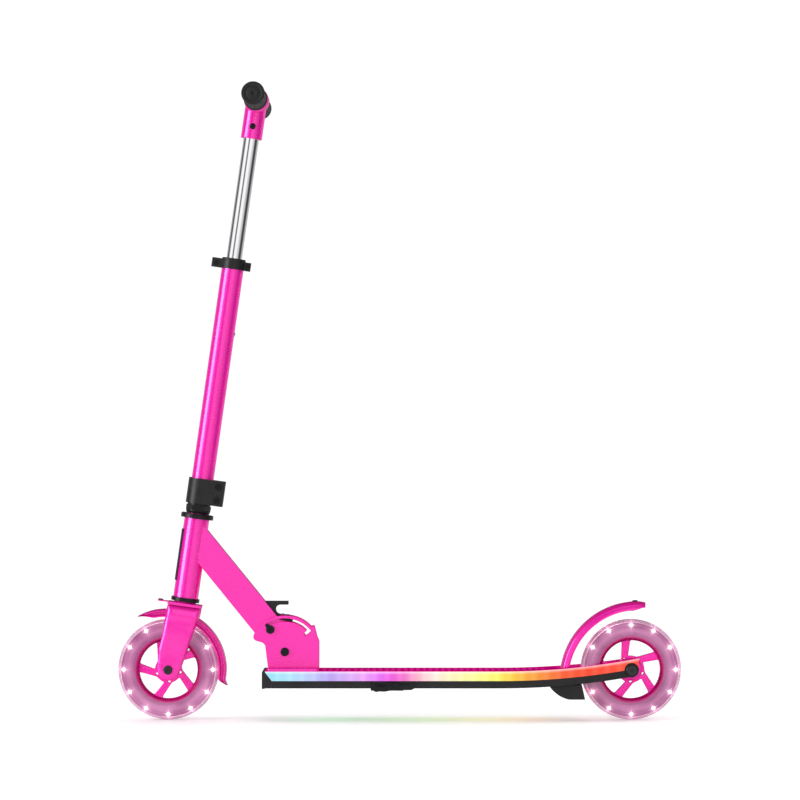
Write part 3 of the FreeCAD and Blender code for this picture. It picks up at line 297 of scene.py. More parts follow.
def light_core(name, axle):
    """Tinted translucent core whose lamps glow through it."""
    material, graph = new_material(name)
    place = graph.place()
    radius, turn, shine = lamp_shine(graph, axle, 7.0 * MM, 2.7 * MM, 6.4 * MM)
    clouds = graph.noise(place, 26.0, 2.0)
    streaks = graph.noise(place, 300.0, 2.0)
    deep = linear(146, 66, 118)
    pale = linear(192, 120, 166)
    rings = graph.node("ShaderNodeCombineXYZ", {
        "X": graph.math("MULTIPLY", radius, 900.0), "Y": graph.math("MULTIPLY", turn, 1.6)})
    lines = graph.noise(rings, 1.0, 3.0)
    # Painted light and shade of the lamps: a band near the lamp ring is painted lighter, and the part towards the
    # hub darker.
    from_band = graph.math("SUBTRACT", radius, 57.0 * MM)
    band = graph.math("MULTIPLY", falloff(graph, from_band, 5.0 * MM), 0.45)
    rings_and_painted_glow = graph.math("MULTIPLY_ADD", graph.ramp(lines, 0.35, 0.7), 0.5, band)
    patches = graph.ramp(clouds, 0.35, 0.65, -0.15, 0.35)
    tone = graph.mix(graph.math("ADD", patches, rings_and_painted_glow, clamp=True), deep, pale)
    inner = graph.ramp(radius, 46.0 * MM, 53.0 * MM, 0.6, 0.0)
    tone = graph.mix(inner, tone, linear(128, 40, 100))
    tone = graph.mix(graph.ramp(radius, 48.2 * MM, 47.4 * MM), tone, linear(188, 0, 114))
    bump = graph.bump(0.2, 0.1 * MM, streaks, rounded_normal(graph, 0.8 * MM))
    haze = graph.mix(graph.math("MULTIPLY", shine, 1.0, clamp=True), tone, (1.0, 0.93, 0.98, 1.0))
    strength = graph.math("ADD", graph.math("MULTIPLY", shine, 1.1), 0.16)
    graph.principled({
        "Base Color": tone, "Roughness": graph.ramp(clouds, 0.3, 0.8, 0.12, 0.24), "Normal": bump,
        "Coat Weight": 0.8, "Coat Roughness": 0.06, "Subsurface Weight": 0.25,
        "Subsurface Radius": (6 * MM, 2.5 * MM, 4.5 * MM), "Subsurface Scale": 1.0,
        "Emission Color": haze, "Emission Strength": strength})
    return material


def clear_tyre(name, axle):
    """Clear cast polyurethane with a faint pink tint, light scuffs on the tread, and a painted glow round the
    lamps and faintly all over.
    """
    material, graph = new_material(name)
    place = graph.place()
    radius, _, shine = lamp_shine(graph, axle, 7.0 * MM, 3.0 * MM, 6.4 * MM)
    scuffs = graph.noise(place, 160.0, 5.0, 0.65)
    tread = graph.ramp(radius, WHEEL_RADIUS - 2.2 * MM, WHEEL_RADIUS)
    wear_and_painted_shade = graph.math("MULTIPLY", tread, graph.ramp(scuffs, 0.45, 0.7))
    tone = graph.mix(wear_and_painted_shade, linear(243, 200, 226), linear(214, 160, 194))
    rough = graph.math("MULTIPLY_ADD", wear_and_painted_shade, 0.25, 0.12)
    bump = graph.bump(0.3, 0.15 * MM, scuffs, rounded_normal(graph, 1.0 * MM))
    graph.principled({
        "Base Color": tone, "Roughness": rough, "Normal": bump, "IOR": 1.4,
        "Transmission Weight": 0.6, "Subsurface Weight": 0.3,
        "Subsurface Radius": (4 * MM, 3 * MM, 4 * MM), "Subsurface Scale": 1.0,
        # Painted glow: the clear tyre glows round the wheel's lamps and faintly all over.
        "Emission Color": linear(255, 215, 240),
        "Emission Strength": graph.math("MULTIPLY_ADD", shine, 0.5, 0.08)})
    return material


def opened(material):
    """The graph of a finished material, its shader's inputs and its base colour, to paint on from there."""
    shader = next(node for node in material.node_tree.nodes if node.type == "BSDF_PRINCIPLED")
    tone = shader.inputs["Base Color"].links[0].from_socket
    return Graph(material.node_tree, fresh=False), shader.inputs, tone


def frame_paint(name, roughness=0.24):
    return gloss_paint(name, PINK, PINK_SHADE, roughness, 1100.0)


def moulding(name, roughness, coat):
    return gloss_paint(name, PINK_PLASTIC, PINK_PLASTIC_SHADE, roughness, 600.0, coat)


def rim_plastic(name, axle):
    """Gloss moulding, with painted shade: darker on the ring that holds the tyre."""
    material = moulding(name, 0.26, 0.7)
    graph, inputs, tone = opened(material)
    radius, _ = wheel_polar(graph, axle)
    # Painted shade on the ring that holds the tyre.
    ring = graph.ramp(radius, 40.6 * MM, 42.4 * MM)
    graph.feed(inputs["Base Color"], graph.mix(ring, tone, linear(176, 0, 104)))
    return material


def deck_paint(name, painted_top_shade, painted_patch_shade):
    """The frame's powder coat, with painted shade on the faces that look up: darker, patchy and matt there."""
    material = frame_paint(name, 0.28)
    graph, inputs, tone = opened(material)
    normal = graph.node("ShaderNodeNewGeometry").outputs["Normal"]
    up = graph.split(normal)["Z"]
    patches = graph.ramp(graph.noise(graph.place(), 60.0, 5.0, 0.65), 0.42, 0.66)
    # Painted shade: faces that look up take a darker tone, patchy at random.
    wear_and_painted_shade = graph.mix(patches, painted_top_shade, painted_patch_shade)
    graph.feed(inputs["Base Color"], graph.mix(graph.ramp(up, 0.5, 0.9), tone, wear_and_painted_shade))
    for key, shiny in (("Coat Weight", 0.5), ("Specular IOR Level", 0.1), ("Metallic", METALLIC)):
        graph.feed(inputs[key], graph.ramp(up, 0.3, 0.8, shiny, 0.0))
    return material


def groove_shaded_paint(name):
    """The frame's powder coat, with painted shade: darker inside folds and grooves."""
    material = frame_paint(name)
    graph, inputs, tone = opened(material)
    # Painted shade: darker where the groove hides the surface from light.
    sky = graph.node("ShaderNodeAmbientOcclusion", {"Distance": 8.0 * MM}, samples=8, only_local=True)
    share = graph.ramp(sky.outputs["AO"], 0.92, 0.60)
    graph.feed(inputs["Base Color"], graph.mix(share, tone, PINK_PAINTED_SHADE))
    return material


def crown_shaded_paint(name, crown, skirt):
    """The frame's powder coat, with painted shade: darker on the crown than on the skirts beside it."""
    material = frame_paint(name)
    graph, inputs, tone = opened(material)
    across = graph.math("ABSOLUTE", graph.split(graph.place())["Y"])
    # Painted shade on the crown, which looks up.
    share = graph.ramp(across, crown, skirt, 0.65, 0.0)
    graph.feed(inputs["Base Color"], graph.mix(share, tone, PINK_PAINTED_SHADE))
    return material


def lamp(name, strength):
    """A small white lens, brightest in the middle."""
    material, graph = new_material(name)
    flicker = graph.noise(graph.place(), 900.0, 2.0)
    graph.principled({
        "Base Color": (0.95, 0.95, 0.97, 1.0), "Roughness": graph.ramp(flicker, 0.3, 0.7, 0.1, 0.25),
        "Emission Color": (1.0, 0.97, 1.0, 1.0),
        "Emission Strength": graph.ramp(flicker, 0.2, 0.8, strength * 0.85, strength)})
    return material


STRIP_START = -193.3 * MM
STRIP_END = 343.5 * MM
STRIP_TOP = 71.5 * MM
BEND_START = 144.0 * MM
RISE_RADIUS = 1150.0 * MM
LAMP_PITCH = 17.5 * MM
STRIP_COLOURS = [
    (-193, (150, 228, 248)), (-155, (176, 226, 250)), (-125, (192, 200, 250)), (-100, (186, 160, 242)),
    (-78, (212, 172, 246)), (-52, (236, 160, 248)), (-30, (233, 112, 246)), (-12, (240, 88, 222)),
    (6, (242, 110, 205)), (26, (252, 178, 204)), (48, (255, 232, 222)), (72, (253, 242, 190)),
    (104, (252, 252, 156)), (138, (253, 244, 104)), (160, (252, 208, 58)), (182, (250, 172, 50)),
    (206, (248, 138, 40)), (236, (250, 86, 24)), (270, (251, 64, 20)), (330, (255, 76, 46)),
]


def light_strip(name):
    """Milky diffuser over a row of coloured lamps, whose colour runs along the deck."""
    material, graph = new_material(name)
    place = graph.place()
    split = graph.split(place)
    along = split["X"]
    length = STRIP_END - STRIP_START
    stops = [((x * MM - STRIP_START) / length, linear(*colour)) for x, colour in STRIP_COLOURS]
    band = graph.band(graph.ramp(along, STRIP_START, STRIP_END), stops)
    past = graph.math("MAXIMUM", graph.math("SUBTRACT", along, BEND_START), 0.0)
    rise = graph.math("DIVIDE", graph.math("MULTIPLY", past, past), 2 * RISE_RADIUS)
    level = graph.math("SUBTRACT", split["Z"], rise)
    height = graph.ramp(level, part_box("left_light_strip")[0].z, STRIP_TOP)
    upper = graph.ramp(height, 0.70, 1.0)
    wave = graph.math("COSINE", graph.math("MULTIPLY", along, 2 * math.pi / LAMP_PITCH))
    spots = graph.math("POWER", graph.math("MULTIPLY_ADD", wave, 0.5, 0.5), 2.0)
    milk = graph.noise(place, 700.0, 2.0)
    whiten = graph.math("MULTIPLY_ADD", upper, 0.40, graph.math("MULTIPLY", spots, 0.03), clamp=True)
    colour = graph.mix(whiten, band, (1.0, 0.96, 1.0, 1.0))
    glow = graph.math("ADD", graph.math("MULTIPLY_ADD", spots, 0.08, 0.94),
                      graph.math("MULTIPLY_ADD", upper, 0.16, graph.math("MULTIPLY", milk, 0.06)))
    graph.principled({
        "Base Color": graph.mix(milk, (0.02, 0.02, 0.02, 1.0), (0.05, 0.05, 0.05, 1.0)),
        "Roughness": graph.ramp(milk, 0.3, 0.8, 0.22, 0.34), "Specular IOR Level": 0.08,
        "Emission Color": colour, "Emission Strength": glow,
        "Normal": rounded_normal(graph, 0.6 * MM)})
    return material


def board(name):
    """Green solder mask with faint copper tracks under it."""
    material, graph = new_material(name)
    place = graph.place()
    brick = graph.node("ShaderNodeTexBrick", {
        "Vector": place, "Scale": 120.0, "Color1": (0.01, 0.12, 0.04, 1.0),
        "Color2": (0.02, 0.16, 0.06, 1.0), "Mortar": (0.05, 0.26, 0.10, 1.0), "Mortar Size": 0.05})
    bump = graph.node("ShaderNodeBump", {
        "Strength": 0.3, "Distance": 0.05 * MM, "Height": brick.outputs["Fac"]})
    rough = graph.ramp(graph.noise(place, 200.0), 0.3, 0.7, 0.25, 0.4)
    graph.principled({
        "Base Color": brick.outputs["Color"], "Roughness": rough, "Normal": bump})
    return material


def steel(name, grey, roughness, stretch=(900.0, 900.0, 900.0), depth=0.01 * MM):
    return turned_metal(name, (grey, grey, grey + 0.02, 1.0), roughness, stretch, depth)


MATERIALS = {
    "led_white": lamp("led_white", 1.1),
    "pink_paint": frame_paint("pink_paint"),
    "pink_plastic": moulding("pink_plastic", 0.24, 0.8),
    "black_plastic": grained("black_plastic", BLACK, 0.42, 2200.0, 0.04 * MM),
    "black_metal": grained("black_metal", (0.008, 0.008, 0.009, 1.0), 0.34, 3000.0, 0.02 * MM, 0.0, 0.35),
    "chrome_tube": turned_metal("chrome_tube", (0.86, 0.86, 0.88, 1.0), 0.07, (900.0, 900.0, 4.0), 0.004 * MM,
                                -math.atan2(STEER_UP.x, STEER_UP.z)),
    "grip_rubber": grained("grip_rubber", (0.012, 0.012, 0.013, 1.0), 0.62, 1800.0, 0.08 * MM, 0.04),
    "bearing_steel": steel("bearing_steel", 0.62, 0.22),
    "button_steel": steel("button_steel", 0.55, 0.25),
    "light_strip": light_strip("light_strip"),
    "circuit_green": board("circuit_green"),
    "cell_steel": turned_metal("cell_steel", (0.3, 0.32, 0.35, 1.0), 0.3, (60.0, 900.0, 60.0), 0.01 * MM),
    "brake_steel": steel("brake_steel", 0.5, 0.3, (50.0, 1200.0, 50.0), 0.02 * MM),
}
AXLE_STEEL = grained("axle_steel", (0.030, 0.030, 0.032, 1.0), 0.30, 3000.0, 0.02 * MM, 0.0, 0.5)
OWN = {
    "front_tyre": clear_tyre("front_tyre_clear", FRONT_AXLE),
    "rear_tyre": clear_tyre("rear_tyre_clear", REAR_AXLE),
    "front_light_core": light_core("front_light_core", FRONT_AXLE),
    "rear_light_core": light_core("rear_light_core", REAR_AXLE),
    "front_rim": rim_plastic("front_rim_plastic", FRONT_AXLE),
    "rear_rim": rim_plastic("rear_rim_plastic", REAR_AXLE),
    # The deck's faces that look up get painted shade.
    "deck_chassis": deck_paint("deck_paint", linear(206, 0, 126), linear(188, 0, 112)),
    "front_fender": groove_shaded_paint("front_fender_paint"),
    "rear_fender": crown_shaded_paint("rear_fender_paint", 9.0 * MM, 12.5 * MM),
    "front_axle_bolt": AXLE_STEEL,
    "rear_axle_bolt": AXLE_STEEL,
}
SLOTS = {part["node"]: part["material_slot"] for part in frame["record"]["subparts"]}


def dress(piece, material):
    piece.data.materials.clear()
    piece.data.materials.append(material)


for name, piece in NODES.items():
    dress(piece, OWN.get(name) or MATERIALS[SLOTS[name]])


# ---------------- mesh helpers

def new_piece(name, mesh, slot, body, smooth=True):
    piece = bpy.data.objects.new(name, mesh)
    bpy.context.scene.collection.objects.link(piece)
    if smooth:
        mesh.polygons.foreach_set("use_smooth", [True] * len(mesh.polygons))
    dress(piece, MATERIALS[slot])
    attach(piece, body)
    return piece


def mesh_from(name, points, faces):
    mesh = bpy.data.meshes.new(name)
    mesh.from_pydata([tuple(point) for point in points], [], faces)
    mesh.validate()
    work = bmesh.new()
    work.from_mesh(mesh)
    bmesh.ops.recalc_face_normals(work, faces=work.faces)
    work.to_mesh(mesh)
    work.free()
    return mesh


def ring_faces(rings, sides, closed=False):
    """Faces between rings of points in a row: the ends are capped, or the last ring meets the first."""
    faces = []
    for ring in range(rings if closed else rings - 1):
        here, there = ring * sides, (ring + 1) % rings * sides
        for step in range(sides):
            follower = (step + 1) % sides
            faces.append((here + step, here + follower, there + follower, there + step))
    if not closed:
        faces += [tuple(range(sides)), tuple(range((rings - 1) * sides, rings * sides))]
    return faces


def around(radius, step, sides):
    """A point on a circle, along its two axes, after step out of sides parts of a turn."""
    turn = 2 * math.pi * step / sides
    return radius * math.cos(turn), radius * math.sin(turn)


def turned(name, profile, sides=128, centre=(0.0, 0.0, 0.0)):
    """A closed (radius, width) profile in mm, turned about the Y axis."""
    points = []
    for radius, width in profile:
        for step in range(sides):
            x, z = around(radius * MM, step, sides)
            points.append((x, width * MM, z))
    mesh = mesh_from(name, points, ring_faces(len(profile), sides, closed=True))
    mesh.transform(Matrix.Translation(centre))
    return mesh


# ---------------- grips

GRIP_LENGTH = 122.5
GRIP_SIDES = 96
RIB_PITCH = 3.6
RIB_START = 9.0
RIB_SPAN = GRIP_LENGTH - 22.0
RIB_STEP = 0.45
RIB_ROOT = 0.45
RIB_DEPTH = 0.62
RIB_SECTORS = 8


def grip_profile():
    """(distance from the inner end, radius, ribbed) in mm along a grip, ending in the hole of its end."""
    start = [(0.0, 11.2), (0.0, 15.4), (0.5, 16.4), (1.4, 17.0), (4.4, 17.0), (5.4, 16.6), (6.4, 15.6),
             (7.4, 15.1)]
    rows = [(place, radius, 0) for place, radius in start]
    for index in range(int(RIB_SPAN / RIB_STEP) + 1):
        place = RIB_START + index * RIB_STEP
        rows.append((place, 14.9 + 0.9 * (place - RIB_START) / RIB_SPAN, 1))
    end = [(11.0, 15.2), (8.0, 15.7), (6.0, 16.6), (1.6, 16.6), (0.6, 16.3), (0.1, 15.8), (0.0, 15.2),
           (0.0, 11.2), (0.5, 10.8), (0.5, 9.9), (0.0, 9.5), (0.0, 2.6), (0.3, 1.9), (1.4, 1.75)]
    return rows + [(GRIP_LENGTH - back, radius, 0) for back, radius in end]


def build_grip(side, name, node):
    low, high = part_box(node)
    start = low.y if side > 0 else high.y
    axis_x, axis_z = (low.x + high.x) / 2, (low.z + high.z) / 2
    points = []
    rows = grip_profile()
    for place, radius, ribbed in rows:
        rib = 0.5 + 0.5 * math.cos(2 * math.pi * place / RIB_PITCH)
        for step in range(GRIP_SIDES):
            sector = 0.5 + 0.5 * math.cos(RIB_SECTORS * 2 * math.pi * step / GRIP_SIDES)
            deep = RIB_DEPTH * min(1.0, 1.8 * rib) * min(1.0, 3.0 * sector) - RIB_ROOT
            x, z = around((radius + ribbed * deep) * MM, step, GRIP_SIDES)
            points.append((axis_x + x, start + side * place * MM, axis_z + z))
    mesh = mesh_from(name, points, ring_faces(len(rows), GRIP_SIDES))
    piece = new_piece(name, mesh, "grip_rubber", "handlebar")
    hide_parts(node)


build_grip(-1, "left_grip_rubber", "left_grip")
build_grip(1, "right_grip_rubber", "right_grip")


# ---------------- outlines and pressed plates

def arc_points(centre, radius, start, end, step=0.5 * MM):
    """Points along an arc in the side view, angles in radians, from start to end."""
    count = max(2, int(abs(end - start) * radius / step))
    turns = [start + (end - start) * index / count for index in range(count + 1)]
    return [Vector((centre[0] + radius * math.cos(turn), centre[1] + radius * math.sin(turn)))
            for turn in turns]


def circle(centre, radius, step=0.5 * MM):
    return arc_points(centre, radius, 0, 2 * math.pi, step)[:-1]


def dense(points, step=0.5 * MM):
    """The closed outline with extra points, so that no gap is much longer than the step."""
    made = []
    for index, here in enumerate(points):
        there = points[(index + 1) % len(points)]
        count = max(1, round((there - here).length / step))
        made += [here.lerp(there, part / count) for part in range(count)]
    return made


def softened(points, rounds):
    """The outline with its corners rounded: each round moves every point towards its neighbours."""
    for _ in range(rounds):
        points = [point * 0.5 + (points[index - 1] + points[(index + 1) % len(points)]) * 0.25
                  for index, point in enumerate(points)]
    return points


def curve_plate(outlines, half_thickness, bevel):
    """A flat plate with holes and rounded edges, from outlines in the side view, as a mesh around y = 0."""
    curve = bpy.data.curves.new("plate", "CURVE")
    curve.dimensions = "2D"
    curve.fill_mode = "BOTH"
    curve.extrude = half_thickness - bevel
    curve.bevel_depth = bevel
    curve.bevel_resolution = 3
    curve.offset = -bevel
    for outline in outlines:
        spline = curve.splines.new("POLY")
        spline.points.add(len(outline) - 1)
        for point, place in zip(spline.points, outline):
            point.co = (place[0], place[1], 0.0, 1.0)
        spline.use_cyclic_u = True
    holder = bpy.data.objects.new("plate", curve)
    bpy.context.scene.collection.objects.link(holder)
    bpy.context.view_layer.update()
    mesh = bpy.data.meshes.new_from_object(holder.evaluated_get(bpy.context.evaluated_depsgraph_get()))
    bpy.data.objects.remove(holder)
    bpy.data.curves.remove(curve)
    mesh.transform(Matrix.Rotation(math.pi / 2, 4, "X"))
    return mesh


def joined(name, meshes):
    """Several meshes as one."""
    work = bmesh.new()
    for mesh in meshes:
        work.from_mesh(mesh)
    bmesh.ops.remove_doubles(work, verts=work.verts, dist=0.001 * MM)
    bmesh.ops.recalc_face_normals(work, faces=work.faces)
    made = bpy.data.meshes.new(name)
    work.to_mesh(made)
    work.free()
    return made


def smooth_by_angle(piece, degrees=35.0):
    """Smooth shading that keeps edges sharper than the angle crisp."""
    limit = math.cos(math.radians(degrees))
    work = bmesh.new()
    work.from_mesh(piece.data)
    for edge in work.edges:
        faces = edge.link_faces
        edge.smooth = len(faces) == 2 and faces[0].normal.dot(faces[1].normal) > limit
    for face in work.faces:
        face.smooth = True
    work.to_mesh(piece.data)
    work.free()


# ---------------- rims

SPOKES = 5
DISC_HALF = 5.5 * MM
RIM_OPENING = 42.0 * MM
RIM_OVERLAP = 1.6 * MM
HUB_DISC = 19.5 * MM
HUB_BORE = 10.0 * MM
CORNER_ROUNDS = 22
HOLE_PLACE = 17.4 * MM
HOLE_RADIUS = 1.9 * MM
HOLE_LAG = math.radians(32.8)
SPOKE_INNER = 12.0 * MM
SPOKE_LOW_LINE = (6.25 * MM, 4.75 * MM)
SPOKE_HIGH_LINE = (15.25 * MM, 16.75 * MM)


RING_PROFILE = [
    (46.0, -10.0), (45.2, -10.0), (44.6, -9.7), (44.3, -9.2), (42.5, -6.2), (41.9, -4.6),
    (41.9, 4.6), (42.5, 6.2), (44.3, 9.2), (44.6, 9.7), (45.2, 10.0), (46.0, 10.0)]
HUB_PROFILE = [
    (11.0, -11.5), (14.2, -11.5), (14.8, -11.2), (15.0, -10.6), (15.6, -6.0), (16.4, -5.2),
    (16.4, 5.2), (15.6, 6.0), (15.0, 10.6), (14.8, 11.2), (14.2, 11.5), (11.0, 11.5)]


def angle_on_line(line, radius):
    """The turn at which a spoke's side line, given by its heights at both ends, meets a circle."""
    slope = (line[1] - line[0]) / (RIM_OPENING - SPOKE_INNER)
    rest = line[0] - slope * SPOKE_INNER
    a, b, c = 1 + slope ** 2, 2 * slope * rest, rest ** 2 - radius ** 2
    x = (-b + math.sqrt(b * b - 4 * a * c)) / (2 * a)
    return math.atan2(slope * x + rest, x)


def build_rim(end, first_spoke):
    node = f"{end}_rim"
    pitch = 2 * math.pi / SPOKES
    outlines = [circle((0, 0), RIM_OPENING + RIM_OVERLAP), circle((0, 0), HUB_BORE)]
    for spoke in range(SPOKES):
        here = math.radians(first_spoke) + spoke * pitch
        there = here + pitch
        outer = arc_points((0, 0), RIM_OPENING, here + angle_on_line(SPOKE_HIGH_LINE, RIM_OPENING),
                           there + angle_on_line(SPOKE_LOW_LINE, RIM_OPENING))
        inner = arc_points((0, 0), HUB_DISC, there + angle_on_line(SPOKE_LOW_LINE, HUB_DISC),
                           here + angle_on_line(SPOKE_HIGH_LINE, HUB_DISC))
        outlines.append(softened(dense(outer + inner), CORNER_ROUNDS))
        hole = here - HOLE_LAG
        middle = (HOLE_PLACE * math.cos(hole), HOLE_PLACE * math.sin(hole))
        outlines.append(circle(middle, HOLE_RADIUS, 0.3 * MM))
    disc = curve_plate(outlines, DISC_HALF, 0.8 * MM)
    mesh = joined(node, [disc, turned("ring", RING_PROFILE), turned("hub", HUB_PROFILE)])
    mesh.transform(Matrix.Translation(centre_of(node)))
    piece = new_piece(f"{end}_rim_casting", mesh, "pink_plastic", f"{end}_wheel")
    smooth_by_angle(piece)
    dress(piece, OWN[node])
    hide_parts(node)


build_rim("front", 18.0)
build_rim("rear", 12.8)


# ---------------- fork legs

RIM_INSETS = (0.5 * MM, 1.2 * MM, 2.2 * MM, 3.4 * MM)
GRID_MARGIN = 4.2 * MM
LEG_GRID = 2.4 * MM
LEG_DROP = 160.0 * MM
LEG_BACK = 16.5 * MM
LEG_FACE = 21.0 * MM
LEG_RIM = 1.2 * MM
LEG_FRONT = [(-23.8, 92.2), (-25.1, 60.0), (-25.6, 45.0), (-27.0, 24.8), (-25.2, 4.0)]
LEG_REAR = [(8.0, 4.0), (13.5, 30.0), (20.0, 60.0), (24.0, 80.0), (24.8, 92.2)]
LEG_AXLE = Vector((-9.6 * MM, -1.375 * MM))
BOSS_RADIUS = 15.4 * MM


def distance_to(outline, point):
    """Shortest distance from a point to a dense closed outline."""
    return min((point - place).length for place in outline)


def inside(outline, point):
    hit = False
    for index, here in enumerate(outline):
        there = outline[index - 1]
        if (here.y > point.y) != (there.y > point.y):
            reach = (there.x - here.x) * (point.y - here.y) / (there.y - here.y) + here.x
            hit = hit != (point.x < reach)
    return hit


def pressed_plate(outline, back, lift, spacing):
    """A plate whose face, towards positive width, lies at lift(point, distance to the rim).

    Points are (along, up) in the side view, and back is the level of the flat side.
    """
    rim = list(outline)
    flat = list(rim)
    for inset in RIM_INSETS:
        for index, here in enumerate(rim):
            tangent = (rim[(index + 1) % len(rim)] - rim[index - 1]).normalized()
            place = here + Vector((-tangent.y, tangent.x)) * inset
            if inside(rim, place) and distance_to(rim, place) > inset * 0.9:
                flat.append(place)
    low = Vector((min(p.x for p in rim), min(p.y for p in rim)))
    high = Vector((max(p.x for p in rim), max(p.y for p in rim)))
    for column in range(int((high.x - low.x) / spacing) + 1):
        for row in range(int((high.y - low.y) / spacing) + 1):
            place = low + Vector((column * spacing, (row + 0.5 * (column % 2)) * spacing))
            if inside(rim, place) and distance_to(rim, place) > GRID_MARGIN:
                flat.append(place)
    edges = [(index, (index + 1) % len(rim)) for index in range(len(rim))]
    places, _, faces, *_ = delaunay_2d_cdt(flat, edges, [], 1, 1e-7)
    count = len(places)
    points = [(place.x, lift(place, distance_to(rim, place)), place.y) for place in places]
    points += [(place.x, back, place.y) for place in rim]
    solid = [tuple(face) for face in faces]
    near = {(round(place.x, 7), round(place.y, 7)): index for index, place in enumerate(places)}
    ids = [near[(round(place.x, 7), round(place.y, 7))] for place in rim]
    for index in range(len(rim)):
        after = (index + 1) % len(rim)
        solid.append((ids[index], ids[after], count + after, count + index))
    solid.append(tuple(range(count, count + len(rim))))
    return points, solid


def eased(value, low, high):
    share = min(1.0, max(0.0, (value - low) / (high - low)))
    return share * share * (3 - 2 * share)


def bulge(value, middle, width):
    return math.exp(-((value - middle) / width) ** 2)


def leg_lift(place, rim_distance):
    """Level of the leg's outer face: it swells below the crown and thins to a ringed boss at the axle."""
    in_front = place.x < -16.5 * MM and place.y > 10 * MM
    share = min(1.0, rim_distance / ((9.0 if in_front else 6.5) * MM))
    dome = math.sqrt(max(0.0, 1 - (1 - share) ** 2))
    from_axle = (place - LEG_AXLE).length
    swell = 3.4 * MM * eased(from_axle, 15 * MM, 65 * MM)
    shoulder = 1.3 * MM * bulge(place.y, 80 * MM, 7 * MM)
    boss_ring = 0.8 * MM * bulge(from_axle, 13.0 * MM, 1.4 * MM) if place.y < 8 * MM else 0.0
    low = LEG_BACK + LEG_RIM
    return low + (LEG_FACE - low + swell + shoulder - boss_ring) * dome


def build_fork_legs():
    front, rear = ([Vector((x * MM, z * MM)) for x, z in side] for side in (LEG_FRONT, LEG_REAR))
    boss = arc_points(LEG_AXLE, BOSS_RADIUS, math.radians(183), math.radians(341))
    outline = softened(dense(front + boss + rear, 1.2 * MM), 5)
    placing = steering_frame(STEER_POINT - STEER_UP * LEG_DROP)
    for side, name in ((-1, "left"), (1, "right")):
        points, faces = pressed_plate(outline, LEG_BACK, leg_lift, LEG_GRID)
        mesh = mesh_from("leg", [placing @ Vector((x, side * y, z)) for x, y, z in points], faces)
        piece = new_piece(f"{name}_fork_leg_pressing", mesh, "pink_paint", "steering")
        smooth_by_angle(piece, 50.0)
        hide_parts(f"{name}_fork_leg")


build_fork_legs()


# ---------------- fenders

SECTION_HALF_WIDTH = 16.2
SECTION_DEPTH = 10.7
GROOVED_OUTER = [
    (0.0, 1.0), (6.0, 0.8), (11.0, 0.3), (14.0, -0.2), (15.4, -0.9), (16.1, -1.9), (15.9, -2.9),
    (14.6, -3.5), (13.0, -4.0), (12.6, -5.0), (12.7, -6.6), (13.4, -7.5), (15.0, -8.1), (16.0, -8.9),
    (16.2, -9.9), (16.0, -10.7)]
GROOVED_INNER = [
    (0.0, -0.8), (10.4, -1.4), (11.3, -2.4), (11.4, -7.2), (12.4, -8.4), (14.4, -9.2), (14.7, -10.7)]
PLAIN_OUTER = [
    (0.0, 1.0), (4.0, 0.8), (8.0, 0.1), (11.0, -1.2), (13.2, -2.8), (14.0, -3.9), (14.1, -4.4), (14.3, -5.0),
    (14.9, -6.4), (15.6, -8.0), (16.1, -9.6), (16.0, -10.7)]
PLAIN_INNER = [(0.0, -1.0), (7.5, -1.8), (11.5, -3.8), (12.4, -5.4), (13.2, -7.6), (14.2, -10.7)]
FRONT_FENDER = {"centre": (-337.1 * MM, 72.1 * MM), "crown": 86.9 * MM, "half_width": 16.0 * MM,
                "depth": 10.4 * MM, "outer": GROOVED_OUTER, "inner": GROOVED_INNER}
REAR_FENDER = {"centre": (343.8 * MM, 57.3 * MM), "crown": 112.3 * MM, "half_width": 17.0 * MM,
               "depth": 11.3 * MM, "outer": PLAIN_OUTER, "inner": PLAIN_INNER}
KNUCKLE = [(2.6, -14.5), (5.4, -14.5), (6.0, -13.9), (6.0, 13.9), (5.4, 14.5), (2.6, 14.5)]


def fender_sweep(name, stations, centre, crown, half_width, depth, outer, inner):
    """A pressed fender swept about a centre, from stations of (degrees, depth share, width share, lift)."""
    wide_unit = half_width / SECTION_HALF_WIDTH
    deep_unit = depth / SECTION_DEPTH
    right = [(width * wide_unit, rise * deep_unit) for width, rise in outer]
    under = [(width * wide_unit, rise * deep_unit) for width, rise in reversed(inner)]
    ring = [(-width, rise) for width, rise in reversed(right)] + right[1:]
    ring += under[:-1] + [(-width, rise) for width, rise in reversed(under)]
    points = []
    for degrees, deep, wide, lift in stations:
        angle = math.radians(degrees)
        for width, rise in ring:
            radius = crown + lift + rise * (deep if rise < 0 else 1.0)
            points.append((centre[0] + radius * math.cos(angle), width * wide,
                           centre[1] + radius * math.sin(angle)))
    return mesh_from(name, points, ring_faces(len(stations), len(ring)))


def evenly(first, last, count):
    return [first + (last - first) * step / count for step in range(count + 1)]


def build_front_fender():
    stations = []
    for degrees in evenly(-14.1, 117.4, 160):
        nose = eased(degrees, 100.0, 120.0)
        tail = max(0.0, min(1.0, (-8.5 - degrees) / 5.7))
        deep = max(0.10, (1 - nose) * (1 - tail ** 3))
        wide = 1 - 0.35 * nose - 0.12 * tail
        stations.append((degrees, deep, wide, 4.6 * MM * tail ** 2 - 0.6 * MM * nose))
    mesh = fender_sweep("front_fender_pressing", stations, **FRONT_FENDER)
    piece = new_piece("front_fender_pressing", mesh, SLOTS["front_fender"], "steering")
    smooth_by_angle(piece, 50.0)
    dress(piece, OWN["front_fender"])
    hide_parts("front_fender")


